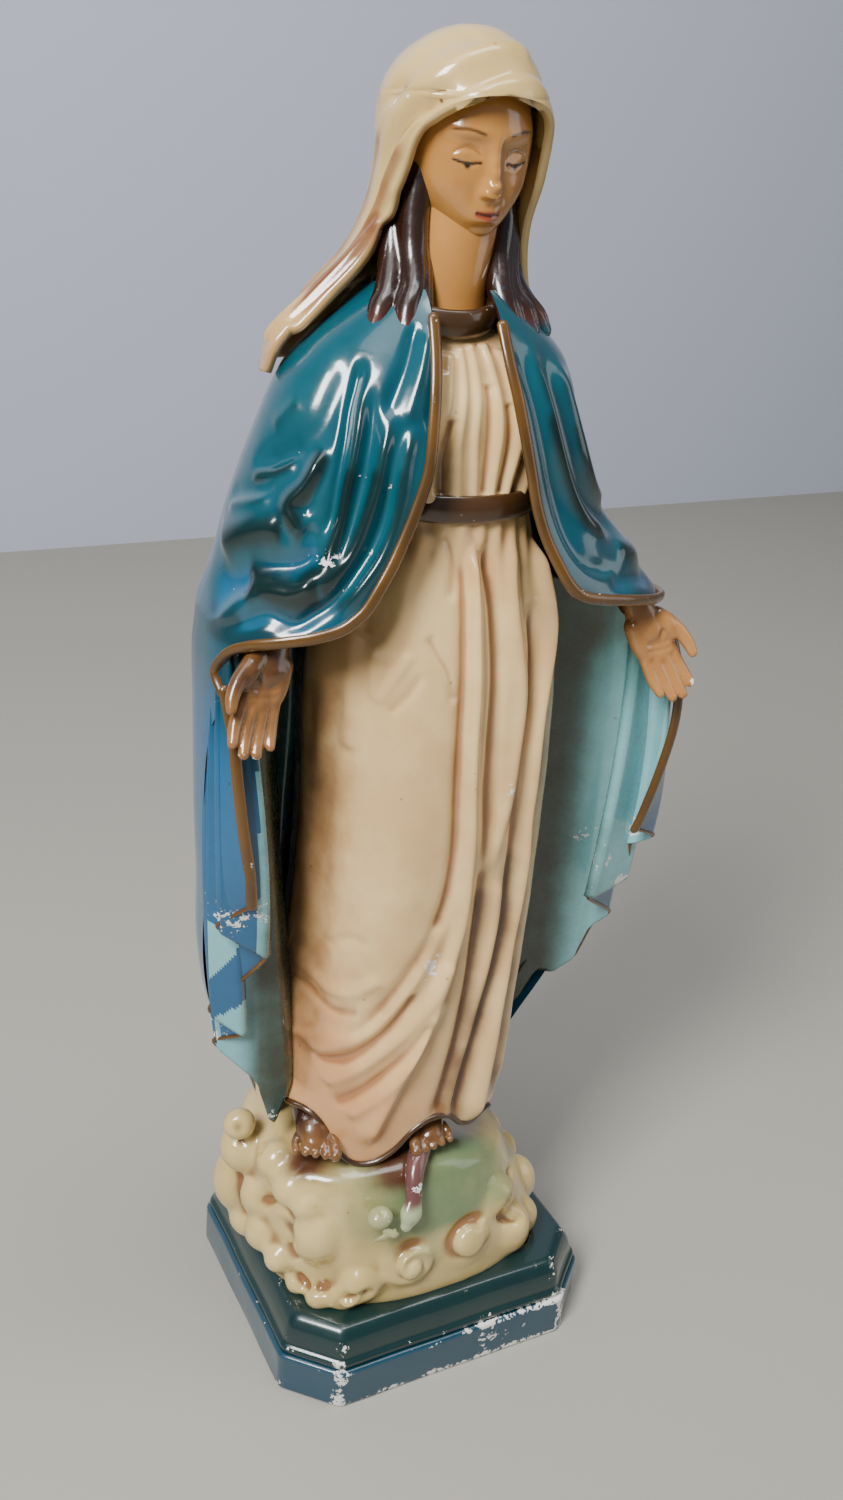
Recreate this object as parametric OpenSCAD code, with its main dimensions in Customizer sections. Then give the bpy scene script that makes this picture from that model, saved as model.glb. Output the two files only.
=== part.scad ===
// Standing robed figure on a cloud mound and an octagonal plinth: a hollow plaster cast,
// with hands cast on their own and pinned to the arms by wire.
// Millimetres, +Z up, front towards -Y, origin at the centre of the resting face.

/* [Plinth] */
// Width of the plinth across its sides
plinth_w = 140; // [110:1:180]
// Depth of the plinth from front to back
plinth_d = 130; // [100:1:170]
// Corner cut, along each side
plinth_chamfer = 19; // [8:1:30]
// Height of the lower band
band_h = 18; // [12:1:26]
// Height of the moulded tier on the band
moulding_h = 16; // [10:1:24]
// How far the tier steps in from the band
step_in = 2; // [1:0.5:5]
// How far the tier's top slopes in
slope_in = 5; // [2:0.5:8]
// Wall of the plinth casting
plinth_wall = 13; // [9:0.5:16]

/* [Cloud mound] */
// Height of the mound, from the plinth to the soles
mound_h = 64; // [50:1:80]
// Width of the mound's foot
mound_w = 124; // [110:1:150]
// Depth of the mound's foot
mound_d = 114; // [90:1:140]
// Width of the mound's crown, under the hem
mound_top_w = 100; // [90:1:112]
// Wall of the mound casting at its foot
mound_wall = 14; // [10:0.5:20]
// Radius of the large cloud puffs
puff_r = 12; // [9:0.5:14]

/* [Gown] */
// Length of the skirt, from the soles to the waist
skirt_len = 256; // [220:1:300]
// Length of the bodice, from the waist to the neck
bodice_len = 58; // [48:1:70]
// Width of the hem
hem_w = 98; // [86:1:116]
// Width of the hips
hip_w = 96; // [84:1:110]
// Width of the waist
waist_w = 58; // [50:1:70]
// Depth of the skirt at the hips
skirt_d = 68; // [58:1:78]
// Wall of the skirt casting
skirt_wall = 11; // [8:0.5:14]
// Depth of the skirt's flutes
flute_depth = 1.5; // [0.5:0.1:3]
// Height of the belt
belt_h = 8; // [5:0.5:12]
// How far the belt stands out from the gown
belt_t = 2; // [1:0.1:4]

/* [Mantle] */
// Width of the mantle at the hands
mantle_w = 190; // [170:1:220]
// Depth of the mantle, from its front plane to its back
mantle_d = 90; // [80:1:110]
// Height of the mantle's hem over the soles
hem_lift = 6; // [2:0.5:15]
// Thickness of the outer layer
mantle_t = 3.5; // [2.5:0.1:5]
// Thickness of the lining layer
lining_t = 2; // [1.5:0.1:3]
// Width of the raised trim along the edges
trim_w = 4; // [2.5:0.1:6]

/* [Head] */
// Height of the head, from chin to crown
head_h = 57; // [48:1:64]
// Width of the head
head_w = 41; // [35:1:48]
// Depth of the head
head_d = 47; // [40:1:54]
// Height of the neck between the band and the chin
neck_h = 26; // [20:1:34]
// Diameter of the neck
neck_dia = 27; // [22:0.5:32]
// Forward tilt of the head
head_tilt = 12; // [0:1:20]
// Thickness of the veil
veil_t = 5; // [3:0.1:6]

/* [Hands and feet] */
// Length of a hand, from wrist to fingertips
hand_len = 38; // [32:1:44]
// Width of a palm
palm_w = 17; // [14:0.5:21]
// Thickness of a palm
palm_t = 8; // [6:0.5:10]
// Diameter of the wire that pins a hand to its arm
wire_dia = 3; // [2:0.1:4]
// Length of that wire
wire_len = 30; // [20:1:36]
// Clearance around the wire
wire_gap = 0.1; // [0.05:0.01:0.3]
// Length of a foot as far as it shows
foot_len = 26; // [20:1:32]
// Width of a foot
foot_w = 17; // [14:0.5:20]

/* [Serpent] */
// Diameter of the serpent's body
serpent_dia = 8; // [6:0.5:11]
// Diameter of the apple
apple_dia = 11; // [9:0.5:14]

/* [Hidden] */

RIGHT = -1;   // the figure's own right hand side
LEFT = 1;
SIDES = 36;   // points round a closed section
JOIN = 0.01;  // how far a cutter runs past a face
SWEEP_SIDE = [0.94, 0.3, 0.1];   // a direction that no swept tube runs along

plinth_h = band_h + moulding_h;
sole_z = plinth_h + mound_h;
waist_z = sole_z + skirt_len;
neck_z = waist_z + bodice_len;
chin_z = neck_z + neck_h;
crown_z = chin_z + head_h;
mantle_hem_z = sole_z + hem_lift;
mantle_len = neck_z + 6 - mantle_hem_z;

// ---------- curves ----------
// Signed power, which squares up an ellipse when p is under 1
function powered(v, p) = sign(v) * pow(abs(v), p);

// Index of the table row that starts the span holding x
function span(table, x, i = 0) = i >= len(table) - 2 || x < table[i + 1][0] ? i : span(table, x, i + 1);

// A smooth curve through the rows of a table, keyed by each row's first number
function along(table, x) =
    let (last = len(table) - 1,
        i = span(table, x),
        before = table[max(i - 1, 0)],
        here = table[i],
        next = table[i + 1],
        after = table[min(i + 2, last)],
        width = next[0] - here[0],
        t = (x - here[0]) / width,
        rise = (next - before) / (next[0] - before[0]) * width,
        fall = (after - here) / (after[0] - here[0]) * width)
    (2 * t * t * t - 3 * t * t + 1) * here + (t * t * t - 2 * t * t + t) * rise
    + (3 * t * t - 2 * t * t * t) * next + (t * t * t - t * t) * fall;

// A point on a section: angle 0 is the front and 90 is the figure's left
function section_point(angle, x_low, x_high, y_front, y_mid, y_back, squareness) =
    let (half = (x_high - x_low) / 2, reach = cos(angle) > 0 ? y_front - y_mid : y_mid - y_back)
    [(x_low + x_high) / 2 + half * powered(sin(angle), squareness), y_mid + reach * powered(cos(angle),
        squareness)];

// ---------- skins ----------
// A solid skinned over closed loops of equal length, capped at both ends, or joined end to end as a ring.
// sheet caps loops that run out and back in strips. crossed turns every wall's diagonal, so that two layers
// share one surface exactly.
module skin(loops, ring = false, sheet = false, crossed = false) {
    n = len(loops[0]);
    rows = len(loops);
    joins = ring ? rows : rows - 1;
    top = (rows - 1) * n;
    points = [for (loop = loops) for (p = loop) p];
    walls = [for (r = [0:joins - 1]) for (i = [0:n - 1])
        let (next = (i + 1) % n,
            above = ((r + 1) % rows) * n,
            a = r * n + i,
            b = r * n + next,
            c = above + next,
            d = above + i)
        each crossed ? [[a, d, b], [b, d, c]] : [[a, c, b], [a, d, c]]];
    fan = [for (i = [1:n - 2]) [0, i, i + 1]];
    strips = [for (i = [0:n / 2 - 2]) each [[i, i + 1, n - 1 - i], [i + 1, n - 2 - i, n - 1 - i]]];
    cap = sheet ? strips : fan;
    far_cap = [for (f = cap) [top + f[0], top + f[2], top + f[1]]];
    polyhedron(points, ring ? walls : concat(walls, cap, far_cap));
}

// A round tube swept along points, with a radius at each end
module swept_tube(path, r_start, r_end, sides = 10) {
    last = len(path) - 1;
    skin([for (i = [0:last])
        let (ahead = path[min(i + 1, last)] - path[max(i - 1, 0)],
            dir = ahead / norm(ahead),
            side = cross(SWEEP_SIDE, dir) / norm(cross(SWEEP_SIDE, dir)),
            up = cross(dir, side),
            r = r_start + (r_end - r_start) * i / last)
        [for (k = [0:sides - 1]) path[i] + r * (cos(360 * k / sides) * side + sin(360 * k / sides) * up)]]);
}

// Keeps a solid's shape and hands it on as one mesh
module as_mesh() {
    resize([0, 0, 0]) children();
}

// ---------- plinth ----------
function octagon(inset) =
    let (w = plinth_w / 2 - inset,
        d = plinth_d / 2 - inset,
        c = plinth_chamfer - inset * 0.586)
    [[w, -d + c], [w, d - c], [w - c, d], [-w + c, d], [-w, d - c], [-w, -d + c], [-w + c, -d],
        [w - c, -d]];

module plinth_band() {
    color("darkslategray")
    linear_extrude(band_h)
    difference() {
        polygon(octagon(0));
        polygon(octagon(plinth_wall));
    }
}

module plinth_moulding() {
    tier = [[band_h, 2 * step_in], [band_h + 1.5, step_in], [plinth_h - 6, step_in],
        [plinth_h - 2, step_in + slope_in / 2],
        [plinth_h, step_in + slope_in]];
    color("darkslategray")
    difference() {
        skin([for (t = tier) [for (p = octagon(t[1])) [p[0], p[1], t[0]]]]);
        skin([for (z = [band_h - JOIN, plinth_h + JOIN]) mound_hollow_foot(z)]);
    }
}

// ---------- cloud mound ----------
// Sections of the mound: share of its height, x low, x high, y front, y back, at the design widths
mound_table = [[0, -61, 61, -56, 56], [0.3, -63, 58, -56, 54], [0.6, -65, 52, -54, 49],
    [0.85, -64, 46, -50, 43],
    [1, -60, 42, -45, 38]];

function mound_loop(z, inset) =
    let (t = (z - plinth_h) / mound_h,
        row = along(mound_table, t),
        kx = (mound_w * (1 - t) + mound_top_w * t * 1.24) / 124,
        ky = mound_d / 114)
    [for (i = [0:SIDES - 1])
        let (p = section_point(360 * i / SIDES, row[1] * kx + inset, row[2] * kx - inset,
            row[3] * ky + inset, 0,
            row[4] * ky - inset, 0.7))
        [p[0], p[1], z]];

// Big puffs round the foot of the mound and small ones over it: angle, height share, size share
puffs = [[-74, 0.25, 1.1], [-98, 0.6, 0.95], [-66, 0.72, 0.8], [-44, 0.2, 0.9], [-27, 0.22, 0.8],
    [-10, 0.25, 0.95],
    [14, 0.24, 1.05], [40, 0.3, 1.1], [66, 0.25, 1], [92, 0.3, 1], [116, 0.25, 1], [140, 0.3, 1],
        [165, 0.25, 0.9],
    [195, 0.28, 0.95], [220, 0.3, 1], [245, 0.3, 1], [-84, 0.85, 0.7], [-40, 0.55, 0.7]];

module puff(angle, height, size) {
    z = plinth_h + mound_h * height;
    r = puff_r * size;
    at = mound_loop(z, r * 0.62)[round((angle + 360) / 360 * SIDES) % SIDES];
    hull() {
        translate(at) sphere(r, $fn = 14);
        translate([at[0] * 0.86, at[1] * 0.86, max(at[2] - r * 0.5, plinth_h + r)])
            sphere(r * 0.8, $fn = 10);
    }
}

// The hollow runs up from the plinth and meets the skirt's
module mound_hollow() {
    skin([mound_hollow_foot(plinth_h - JOIN), mound_hollow_foot(plinth_h + mound_h * 0.3),
        skirt_loop(sole_z + JOIN, skirt_wall)]);
}

function mound_hollow_foot(z) = [for (i = [0:SIDES - 1])
    let (p = section_point(360 * i / SIDES, -mound_w / 2 + mound_wall, mound_w / 2 - mound_wall,
        -mound_d / 2 + mound_wall, 0, mound_d / 2 - mound_wall, 1))
    [p[0], p[1], z]];

module cloud_mound() {
    steps = 7;
    color("wheat")
    difference() {
        intersection() {
            union() {
                skin([for (k = [0:steps]) mound_loop(plinth_h + mound_h * k / steps, 0)]);
                for (p = puffs) puff(p[0], p[1], p[2]);
            }
            translate([-plinth_w / 2, -plinth_d / 2, plinth_h]) cube([plinth_w, plinth_d, mound_h]);
        }
        mound_hollow();
        serpent_solid();
        apple_solid();
        leaf_solid();
    }
}

// ---------- gown ----------
// Sections of the skirt: share of its length, x low, x high, y front, y back, at the design widths
skirt_table = [[0, -1.22, 0.82, -1.22, 0.9], [0.08, -1.2, 0.84, -1.24, 0.94], [0.2, -1.12, 0.9, -1.2, 1],
    [0.4, -1.03, 0.98, -1.16, 1], [0.58, -0.98, 1.02, -1.18, 1], [0.75, -1, 1.02, -1.14, 1],
        [0.86, -0.9, 0.9, -1.06, 1],
    [0.95, -0.68, 0.66, -0.94, 0.96], [1, -0.6, 0.6, -0.88, 0.94]];

function skirt_loop(z, inset) =
    let (t = (z - sole_z) / skirt_len,
        row = along(skirt_table, t),
        half = t > 0.75
            ? hip_w / 2 + (waist_w / 1.2 - hip_w / 2) * (t - 0.75) / 0.25
            : hem_w / 2 + (hip_w - hem_w) / 2 * t / 0.75,
        fade = flute_depth * (1 - t) * (inset > 0 ? 0 : 1))
    [for (i = [0:SIDES - 1])
        let (a = 360 * i / SIDES,
            flute = fade * cos(9 * a),
            p = section_point(a, row[1] * half + inset - flute, row[2] * half - inset + flute,
                row[3] * skirt_d / 2 + inset - flute, 0, row[4] * skirt_d / 2 - inset + flute, 0.92))
        [p[0], p[1], z]];

module gown_skirt() {
    steps = 14;
    roof_z = waist_z - 2.5 * skirt_wall;
    outer = [for (k = [0:steps]) skirt_loop(sole_z + skirt_len * k / steps, 0)];
    inner = [for (k = [0:5]) skirt_loop(roof_z + (sole_z - roof_z) * k / 5, skirt_wall)];
    color("wheat")
    difference() {
        skin(concat(inner, outer));
        foot_solid(RIGHT);
        foot_solid(LEFT);
        serpent_solid();
    }
}

// Sections of the bodice: share of its length, x low, x high, y front, y back, in millimetres at the
// waist's scale
bodice_table = [[0, -35, 35, -30, 32], [0.3, -38, 36, -31, 30], [0.6, -43, 37, -30, 28],
    [0.8, -42, 34, -25, 26],
    [0.93, -32, 22, -19, 23], [1, -20, 12, -16, 19]];

function bodice_loop(z, out) =
    let (row = along(bodice_table, (z - waist_z) / bodice_len),
        first = skirt_loop(waist_z, 0),
        near = max(0, 1 - (z - waist_z) / 8))
    [for (i = [0:SIDES - 1])
        let (p = section_point(360 * i / SIDES, row[1] - out, row[2] + out, row[3] - out, 0,
            row[4] + out, 0.92),
            q = first[i],
            push = norm([q[0], q[1]]) > 0 ? [q[0], q[1]] / norm([q[0], q[1]]) * out : [0, 0])
        [p[0] * (1 - near) + (q[0] + push[0]) * near, p[1] * (1 - near) + (q[1] + push[1]) * near, z]];

module gown_bodice() {
    steps = 9;
    color("wheat")
    skin([for (k = [0:steps]) bodice_loop(waist_z + bodice_len * k / steps, 0)]);
}

module belt() {
    levels = [0, 0.15, 0.85, 1];
    bulge = [0.4, 1, 1, 0.4];
    outer = [for (k = [0:3]) bodice_loop(waist_z + belt_h * levels[k], belt_t * bulge[k])];
    inner = [for (k = [3:-1:0]) bodice_loop(waist_z + belt_h * levels[k], 0)];
    color("darkgoldenrod")
    as_mesh() difference() {
        skin(concat(outer, inner), ring = true);
        gown_bodice();
    }
}

module hem_trim() {
    color("darkgoldenrod")
    as_mesh() difference() {
        skin([for (r = [[0, 0], [0, 1.6], [4.5, 1.2], [4.5, 0]])
            [for (p = skirt_loop(sole_z + r[0], 0)) let (n = norm([p[0], p[1]])) [p[0] * (1 + r[1] / n),
                p[1] * (1 + r[1] / n), p[2]]]],
            ring = true);
        gown_mass();
        mantle_layers();
        foot_solid(RIGHT);
        foot_solid(LEFT);
        serpent_solid();
    }
}

module neckline_band() {
    levels = [-3.5, -2, 1.5, 3];
    bulge = [0.5, 1.8, 1.8, 0.5];
    outer = [for (k = [0:3]) neck_band_loop(neck_z + levels[k], bulge[k])];
    inner = [for (k = [3:-1:0]) neck_band_loop(neck_z + levels[k], 0)];
    color("darkgoldenrod")
    as_mesh() difference() {
        skin(concat(outer, inner), ring = true);
        gown_bodice();
    }
}

// Below the neck plane the band lies on the bodice, and above it on the neck
function neck_band_loop(z, out) =
    z < neck_z ? bodice_loop(z, out) : [for (p = bodice_loop(neck_z, out)) [p[0], p[1], z]];

// All of the gown, as a cutter for what lies on it
module gown_mass() {
    skin([for (k = [0:14]) skirt_loop(sole_z + skirt_len * k / 14, 0)]);
    gown_bodice();
    belt();
    neckline_band();
}

// ---------- mantle ----------
// Sections of the mantle: share of its length, x low, x high, y front, y back, right edge angle, left
// edge angle, squareness
mantle_table = [[0, -72, 61, -45, 41, 82, 78, 0.85], [0.05, -78, 70, -46, 41.5, 78, 76, 0.8],
    [0.12, -86, 82, -48, 41, 72, 72, 0.75], [0.22, -92, 92, -50, 42, 68, 69, 0.72],
        [0.36, -97, 97, -52, 42, 66, 68, 0.7],
    [0.5, -96, 97, -52, 42, 66, 69, 0.7], [0.57, -94, 97, -50, 42, 67, 70, 0.7],
        [0.63, -90, 96, -48, 41, 66, 66, 0.7],
    [0.665, -88, 90, -47, 40, 56, 54, 0.7], [0.69, -86, 84, -46, 39, 40, 42, 0.74],
        [0.73, -82, 74, -46, 38, 25, 34, 0.82],
    [0.79, -78, 60, -43, 40, 15, 32, 0.92], [0.87, -69, 50, -41, 39, 13, 28, 0.95],
        [0.93, -61, 44, -37, 36, 12, 24, 1],
    [0.965, -50, 36, -32, 34, 12, 24, 1], [1, -34, 24, -26, 31, 16, 30, 1]];

MANTLE_STEPS = 26;   // points along half a section

// One layer of the mantle at a share of its length: an open section between two insets
function mantle_loop(t, inset_out, inset_in) =
    let (row = along(mantle_table, t),
        kx = mantle_w / 190,
        ky = mantle_d / 90,
        sweep = 360 - row[5] - row[6],
        z = mantle_hem_z + mantle_len * t)
    [for (inset = [inset_out, inset_in]) for (i = [0:MANTLE_STEPS])
        let (k = inset == inset_out ? i : MANTLE_STEPS - i,
            a = row[6] + sweep * k / MANTLE_STEPS,
            p = section_point(a, row[1] * kx + inset, row[2] * kx - inset, row[3] * ky + inset, 0,
                row[4] * ky - inset, row[7]))
        [p[0], p[1], z]];

mantle_shares = [0, 0.03, 0.07, 0.13, 0.22, 0.34, 0.46, 0.55, 0.62, 0.645, 0.665, 0.68, 0.7, 0.73, 0.78,
    0.83, 0.88, 0.93,
    0.965, 1];

module mantle_shell() {
    skin([for (t = mantle_shares) mantle_loop(t, 0, mantle_t)], sheet = true);
}

module mantle_layers() {
    skin([for (t = mantle_shares) mantle_loop(t, 0, mantle_t + lining_t)], sheet = true);
}

module mantle() {
    color("teal")
    as_mesh() difference() {
        mantle_shell();
        gown_mass();
    }
}

module mantle_lining() {
    color("mediumaquamarine")
    as_mesh() difference() {
        skin([for (t = mantle_shares) mantle_loop(t, mantle_t, mantle_t + lining_t)], sheet = true,
            crossed = true);
        gown_mass();
    }
}

// The room inside the mantle's lining above a share of its length
module mantle_room(from) {
    inset = mantle_t + lining_t;
    skin([for (t = [for (s = mantle_shares) if (s >= from) s])
        let (row = along(mantle_table, t), kx = mantle_w / 190, ky = mantle_d / 90)
        [for (i = [0:SIDES - 1])
            let (p = section_point(360 * i / SIDES, row[1] * kx + inset, row[2] * kx - inset,
                row[3] * ky + inset, 0,
                row[4] * ky - inset, row[7]))
            [p[0], p[1], mantle_hem_z + mantle_len * t]]]);
}

// The raised trim follows an edge of the mantle between two shares of its length
module mantle_trim(side, low, high) {
    path = [for (t = [for (s = mantle_shares) if (s >= low && s <= high) s])
        let (row = along(mantle_table, t), kx = mantle_w / 190, ky = mantle_d / 90,
            a = side == RIGHT ? -row[5] + 1.5 : row[6] - 1.5,
            half = (mantle_t + lining_t) / 2,
            p = section_point(a, row[1] * kx + half, row[2] * kx - half, row[3] * ky + half, 0,
                row[4] * ky - half, row[7]))
        [p[0], p[1], mantle_hem_z + mantle_len * t]];
    color("darkgoldenrod")
    as_mesh() difference() {
        swept_tube(path, trim_w / 2, trim_w / 2, 8);
        mantle_layers();
        gown_mass();
        hand_solid(side);
    }
}

// ---------- arms, wires and hands ----------
wrist_z = mantle_hem_z + mantle_len * 0.665;
function wrist(side) = [side == RIGHT ? -0.36 * mantle_w : 0.385 * mantle_w, -0.22 * mantle_d, wrist_z];
function hand_direction(side) = let (d = [side * 0.36, -0.3, -0.88]) d / norm(d);

// Turns a child that points along -Z at the wrist towards the hand's direction
module at_wrist(side) {
    d = hand_direction(side);
    translate(wrist(side))
    rotate([0, acos(-d[2]), atan2(-d[1], -d[0])])
    children();
}

module wire_bore(side, gap) {
    at_wrist(side) cylinder(wire_len, d = wire_dia + 2 * gap, center = true, $fn = 32);
}

module arm(side) {
    reach = mantle_w;
    color("wheat")
    as_mesh() difference() {
        intersection() {
            mantle_room(0.645);
            translate([side > 0 ? 0 : -reach, -reach / 2, wrist_z])
                cube([reach, reach, neck_z - 26 - wrist_z]);
            hull() {
                translate(wrist(side)) sphere(9, $fn = 14);
                translate([side * 0.3 * mantle_w, 6, wrist_z + 26]) sphere(15, $fn = 14);
                translate([side * 0.2 * mantle_w, 8, neck_z - 28]) sphere(14, $fn = 14);
            }
        }
        mantle_layers();
        gown_mass();
        wire_bore(side, wire_gap);
        hand_solid(side);
    }
}

module wrist_wire(side) {
    color("dimgray") wire_bore(side, 0);
}

// Fingers: share of the palm's width, share of the hand's length, spread in degrees
fingers = [[-0.39, 0.42, -5], [-0.13, 0.5, -1], [0.13, 0.52, 2], [0.39, 0.44, 6]];

module hand_solid(side) {
    palm_len = hand_len * 0.5;
    finger_r = palm_w / 8;
    at_wrist(side) rotate([0, 0, side == RIGHT ? 100 : 80]) {
        hull() {
            translate([0, 0, -1]) scale([1, 0.8, 1]) sphere(palm_w * 0.34, $fn = 14);
            for (x = [-0.33, 0.33]) translate([x * palm_w, 0, -palm_len]) scale([1, 0.8, 1])
                sphere(palm_t * 0.42, $fn = 12);
        }
        for (f = fingers) hull() {
            translate([f[0] * palm_w, 0, -palm_len]) sphere(finger_r * 1.15, $fn = 8);
            translate([f[0] * palm_w + sin(f[2]) * hand_len * f[1], -2,
                -palm_len - hand_len * f[1] + finger_r]) sphere(finger_r * 0.85, $fn = 8);
        }
        hull() {
            translate([side * palm_w * 0.3, 0, -palm_len * 0.35]) sphere(palm_t * 0.42, $fn = 10);
            translate([side * palm_w * 0.62, 1.5, -palm_len * 1.15]) sphere(finger_r * 1.1, $fn = 8);
        }
    }
}

module hand(side) {
    color("tan")
    as_mesh() difference() {
        hand_solid(side);
        wire_bore(side, wire_gap);
        mantle_layers();
    }
}

// ---------- feet ----------
function foot_at(side) = [side == RIGHT ? -0.42 * hem_w : -0.02 * hem_w, -skirt_d * 0.5, sole_z];

module foot_solid(side) {
    toe_r = foot_w / 9;
    turn = side == RIGHT ? -14 : 4;
    translate(foot_at(side)) rotate([0, 0, turn]) {
        hull() {
            translate([0, foot_len * 0.3, foot_w * 0.42]) sphere(foot_w * 0.4, $fn = 14);
            for (x = [-0.32, 0.32]) translate([x * foot_w, -foot_len * 0.35, toe_r * 1.2])
                sphere(toe_r * 1.2, $fn = 8);
        }
        for (k = [0:4]) hull() {
            x = (k - 2) * foot_w * 0.2;
            reach = foot_len * (0.52 - 0.03 * abs(k - (side == RIGHT ? 3 : 1)));
            translate([x, -foot_len * 0.3, toe_r * 1.2]) sphere(toe_r * 1.15, $fn = 8);
            translate([x, -reach, toe_r]) sphere(toe_r, $fn = 8);
        }
    }
}

module foot(side) {
    color("tan")
    as_mesh() intersection() {
        foot_solid(side);
        translate([-hem_w, -skirt_d * 2, sole_z]) cube([2 * hem_w, 2 * skirt_d, foot_w]);
    }
}

// ---------- neck, head, hair and veil ----------
head_mid = [0, 0, chin_z + head_h / 2];

module neck_solid() {
    hull() {
        translate([-4, 0, neck_z]) cylinder(1, d = neck_dia * 1.05, $fn = 32);
        translate([-1, 2, chin_z + head_h * 0.25]) cylinder(1, d = neck_dia * 0.9, $fn = 32);
    }
}

// A ball stretched to the given sizes
module ball(sizes, sides = 16) {
    resize(sizes) sphere(10, $fn = sides);
}

// Eyes at half the head's height, the nose a quarter below them and the mouth a third below that
module head_solid() {
    eye_z = -0.02 * head_h;
    nose_z = -0.22 * head_h;
    mouth_z = -0.31 * head_h;
    face_y = -0.44 * head_d;
    translate(head_mid) rotate([head_tilt, 0, 0]) {
        hull() {
            translate([0, 1.5, head_h * 0.08]) ball([head_w, head_d, head_h * 0.8], 24);
            translate([0, 0.73 * face_y, -0.4 * head_h]) ball([0.4, 0.3, 0.2] * head_w);
            translate([0, 0.3 * face_y, mouth_z]) ball([0.82 * head_w, 0.6 * head_d, 0.24 * head_h]);
        }
        hull() {
            translate([0, face_y - 0.5, nose_z]) ball([0.17, 0.22, 0.12] * head_w, 12);
            translate([0, face_y, eye_z + 2]) ball([0.1, 0.14, 0.2] * head_w, 12);
        }
        for (side = [RIGHT, LEFT]) {
            translate([side * 0.2 * head_w, face_y + 2.5, eye_z]) ball([0.22, 0.17, 0.11] * head_w, 14);
            translate([side * 0.2 * head_w, face_y + 2.2, eye_z + 0.1 * head_h])
                ball([0.27, 0.14, 0.07] * head_w, 14);
        }
        for (drop = [0, 0.055]) translate([0, face_y + 0.8, mouth_z - drop * head_h])
            ball([0.26, 0.15, 0.07] * head_w, 14);
        translate([0, face_y + 3.2, -0.43 * head_h]) ball([0.24, 0.2, 0.16] * head_w, 16);
    }
}

module neck() {
    color("tan")
    as_mesh() difference() {
        neck_solid();
        head_solid();
    }
}

module head() {
    color("tan")
    as_mesh() head_solid();
}

module hair_solid(side) {
    for (k = [0:3]) hull() for (j = [k, k + 1]) {
        t = j / 4;
        translate([-2 + side * (head_w * 0.43 + 2 * sin(200 * t)), 2 - 6 * t,
            chin_z + head_h * 0.42 - (head_h * 0.42 + neck_h - 12) * t])
        sphere(6 - 0.8 * t, $fn = 12);
    }
}

module hair(side) {
    color("saddlebrown")
    as_mesh() difference() {
        hair_solid(side);
        head_solid();
        neck_solid();
        mantle_layers();
        gown_mass();
    }
}

// Sections of the veil: share of its drop, x low, x high, y front, y back
veil_drop = head_h + neck_h + 22;
veil_table = [[0, -65, 47, -10, 46], [0.1, -62, 46, -16, 42], [0.22, -50, 38, -20, 37],
    [0.34, -38, 32, -24, 33],
    [0.46, -31, 30, -28, 31], [0.6, -28, 31, -30, 31], [0.72, -28, 32, -31, 31], [0.82, -27, 31, -29, 30],
    [0.9, -22, 27, -25, 26], [0.96, -13, 18, -16, 18], [0.99, -6, 10, -8, 10], [1, -1, 4, -2, 4]];

function veil_loop(share, inset) =
    let (row = along(veil_table, share), z = crown_z + veil_t - veil_drop * (1 - share),
        drop = inset * share)
    [for (i = [0:SIDES - 1])
        let (p = section_point(360 * i / SIDES, row[1] + inset, row[2] - inset, row[3] + inset, 2,
            row[4] - inset, 0.95))
        [p[0] * head_w / 41, p[1] * head_d / 47, z - drop]];

veil_shares = [0, 0.06, 0.13, 0.22, 0.3, 0.38, 0.47, 0.56, 0.66, 0.76, 0.84, 0.9, 0.94, 0.97, 0.99];

// Side view of what the veil leaves open in front: its edge runs from the brow back to the shoulders
module veil_opening() {
    top = crown_z + veil_t;
    edge = [[1, 0], [-0.95, 0.293], [-6, 0.52], [-13, 0.68], [-22, 0.79]];
    outline = concat([for (e = edge) [e[0], top - veil_drop * (1 - e[1])]],
        [[-2 * head_d, top - veil_drop * 0.19], [-2 * head_d, neck_z - head_h], [2, neck_z - head_h]]);
    translate([-mantle_w / 2, 0, 0]) rotate([90, 0, 90]) linear_extrude(mantle_w) polygon(outline);
}

module veil_solid() {
    difference() {
        skin([for (t = veil_shares) veil_loop(t, 0)]);
        skin([for (t = concat([-0.02], [for (s = veil_shares) if (s < 0.97) s])) veil_loop(t, veil_t)]);
        veil_opening();
    }
}

module veil() {
    color("cornsilk")
    as_mesh() difference() {
        veil_solid();
        head_solid();
        neck_solid();
        for (side = [RIGHT, LEFT]) hair_solid(side);
        mantle_layers();
        gown_bodice();
    }
}

// ---------- serpent and apple ----------
// From under the figure's left foot down the front of the mound, from the middle line and the sole
serpent_path = [[-4, -30, -4], [-12, -38, -2], [-18, -46, -3], [-20, -51, -8], [-21, -53, -14],
    [-23, -54, -19]];

module serpent_solid() {
    swept_tube([for (p = serpent_path) p + [0, 0, sole_z]], serpent_dia * 0.5, serpent_dia * 0.4);
    translate(serpent_path[5] + [0, 0, sole_z]) sphere(d = serpent_dia * 1.15, $fn = 20);
}

apple_at = serpent_path[5] + [-0.9 * apple_dia, -1, sole_z + 4];

module apple_solid() {
    translate(apple_at) sphere(d = apple_dia, $fn = 24);
}

module leaf_solid() {
    translate(apple_at + [0.1, -0.1, -0.75] * apple_dia) rotate([60, 0, 30]) resize([apple_dia * 0.7,
        apple_dia * 0.5, 3]) sphere(6, $fn = 20);
}

module serpent() {
    color("sienna")
    as_mesh() difference() {
        serpent_solid();
        apple_solid();
        foot_solid(RIGHT);
        foot_solid(LEFT);
    }
}

module apple() {
    color("palegoldenrod") apple_solid();
}

module apple_leaf() {
    color("darkseagreen")
    as_mesh() difference() {
        leaf_solid();
        apple_solid();
    }
}

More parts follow.
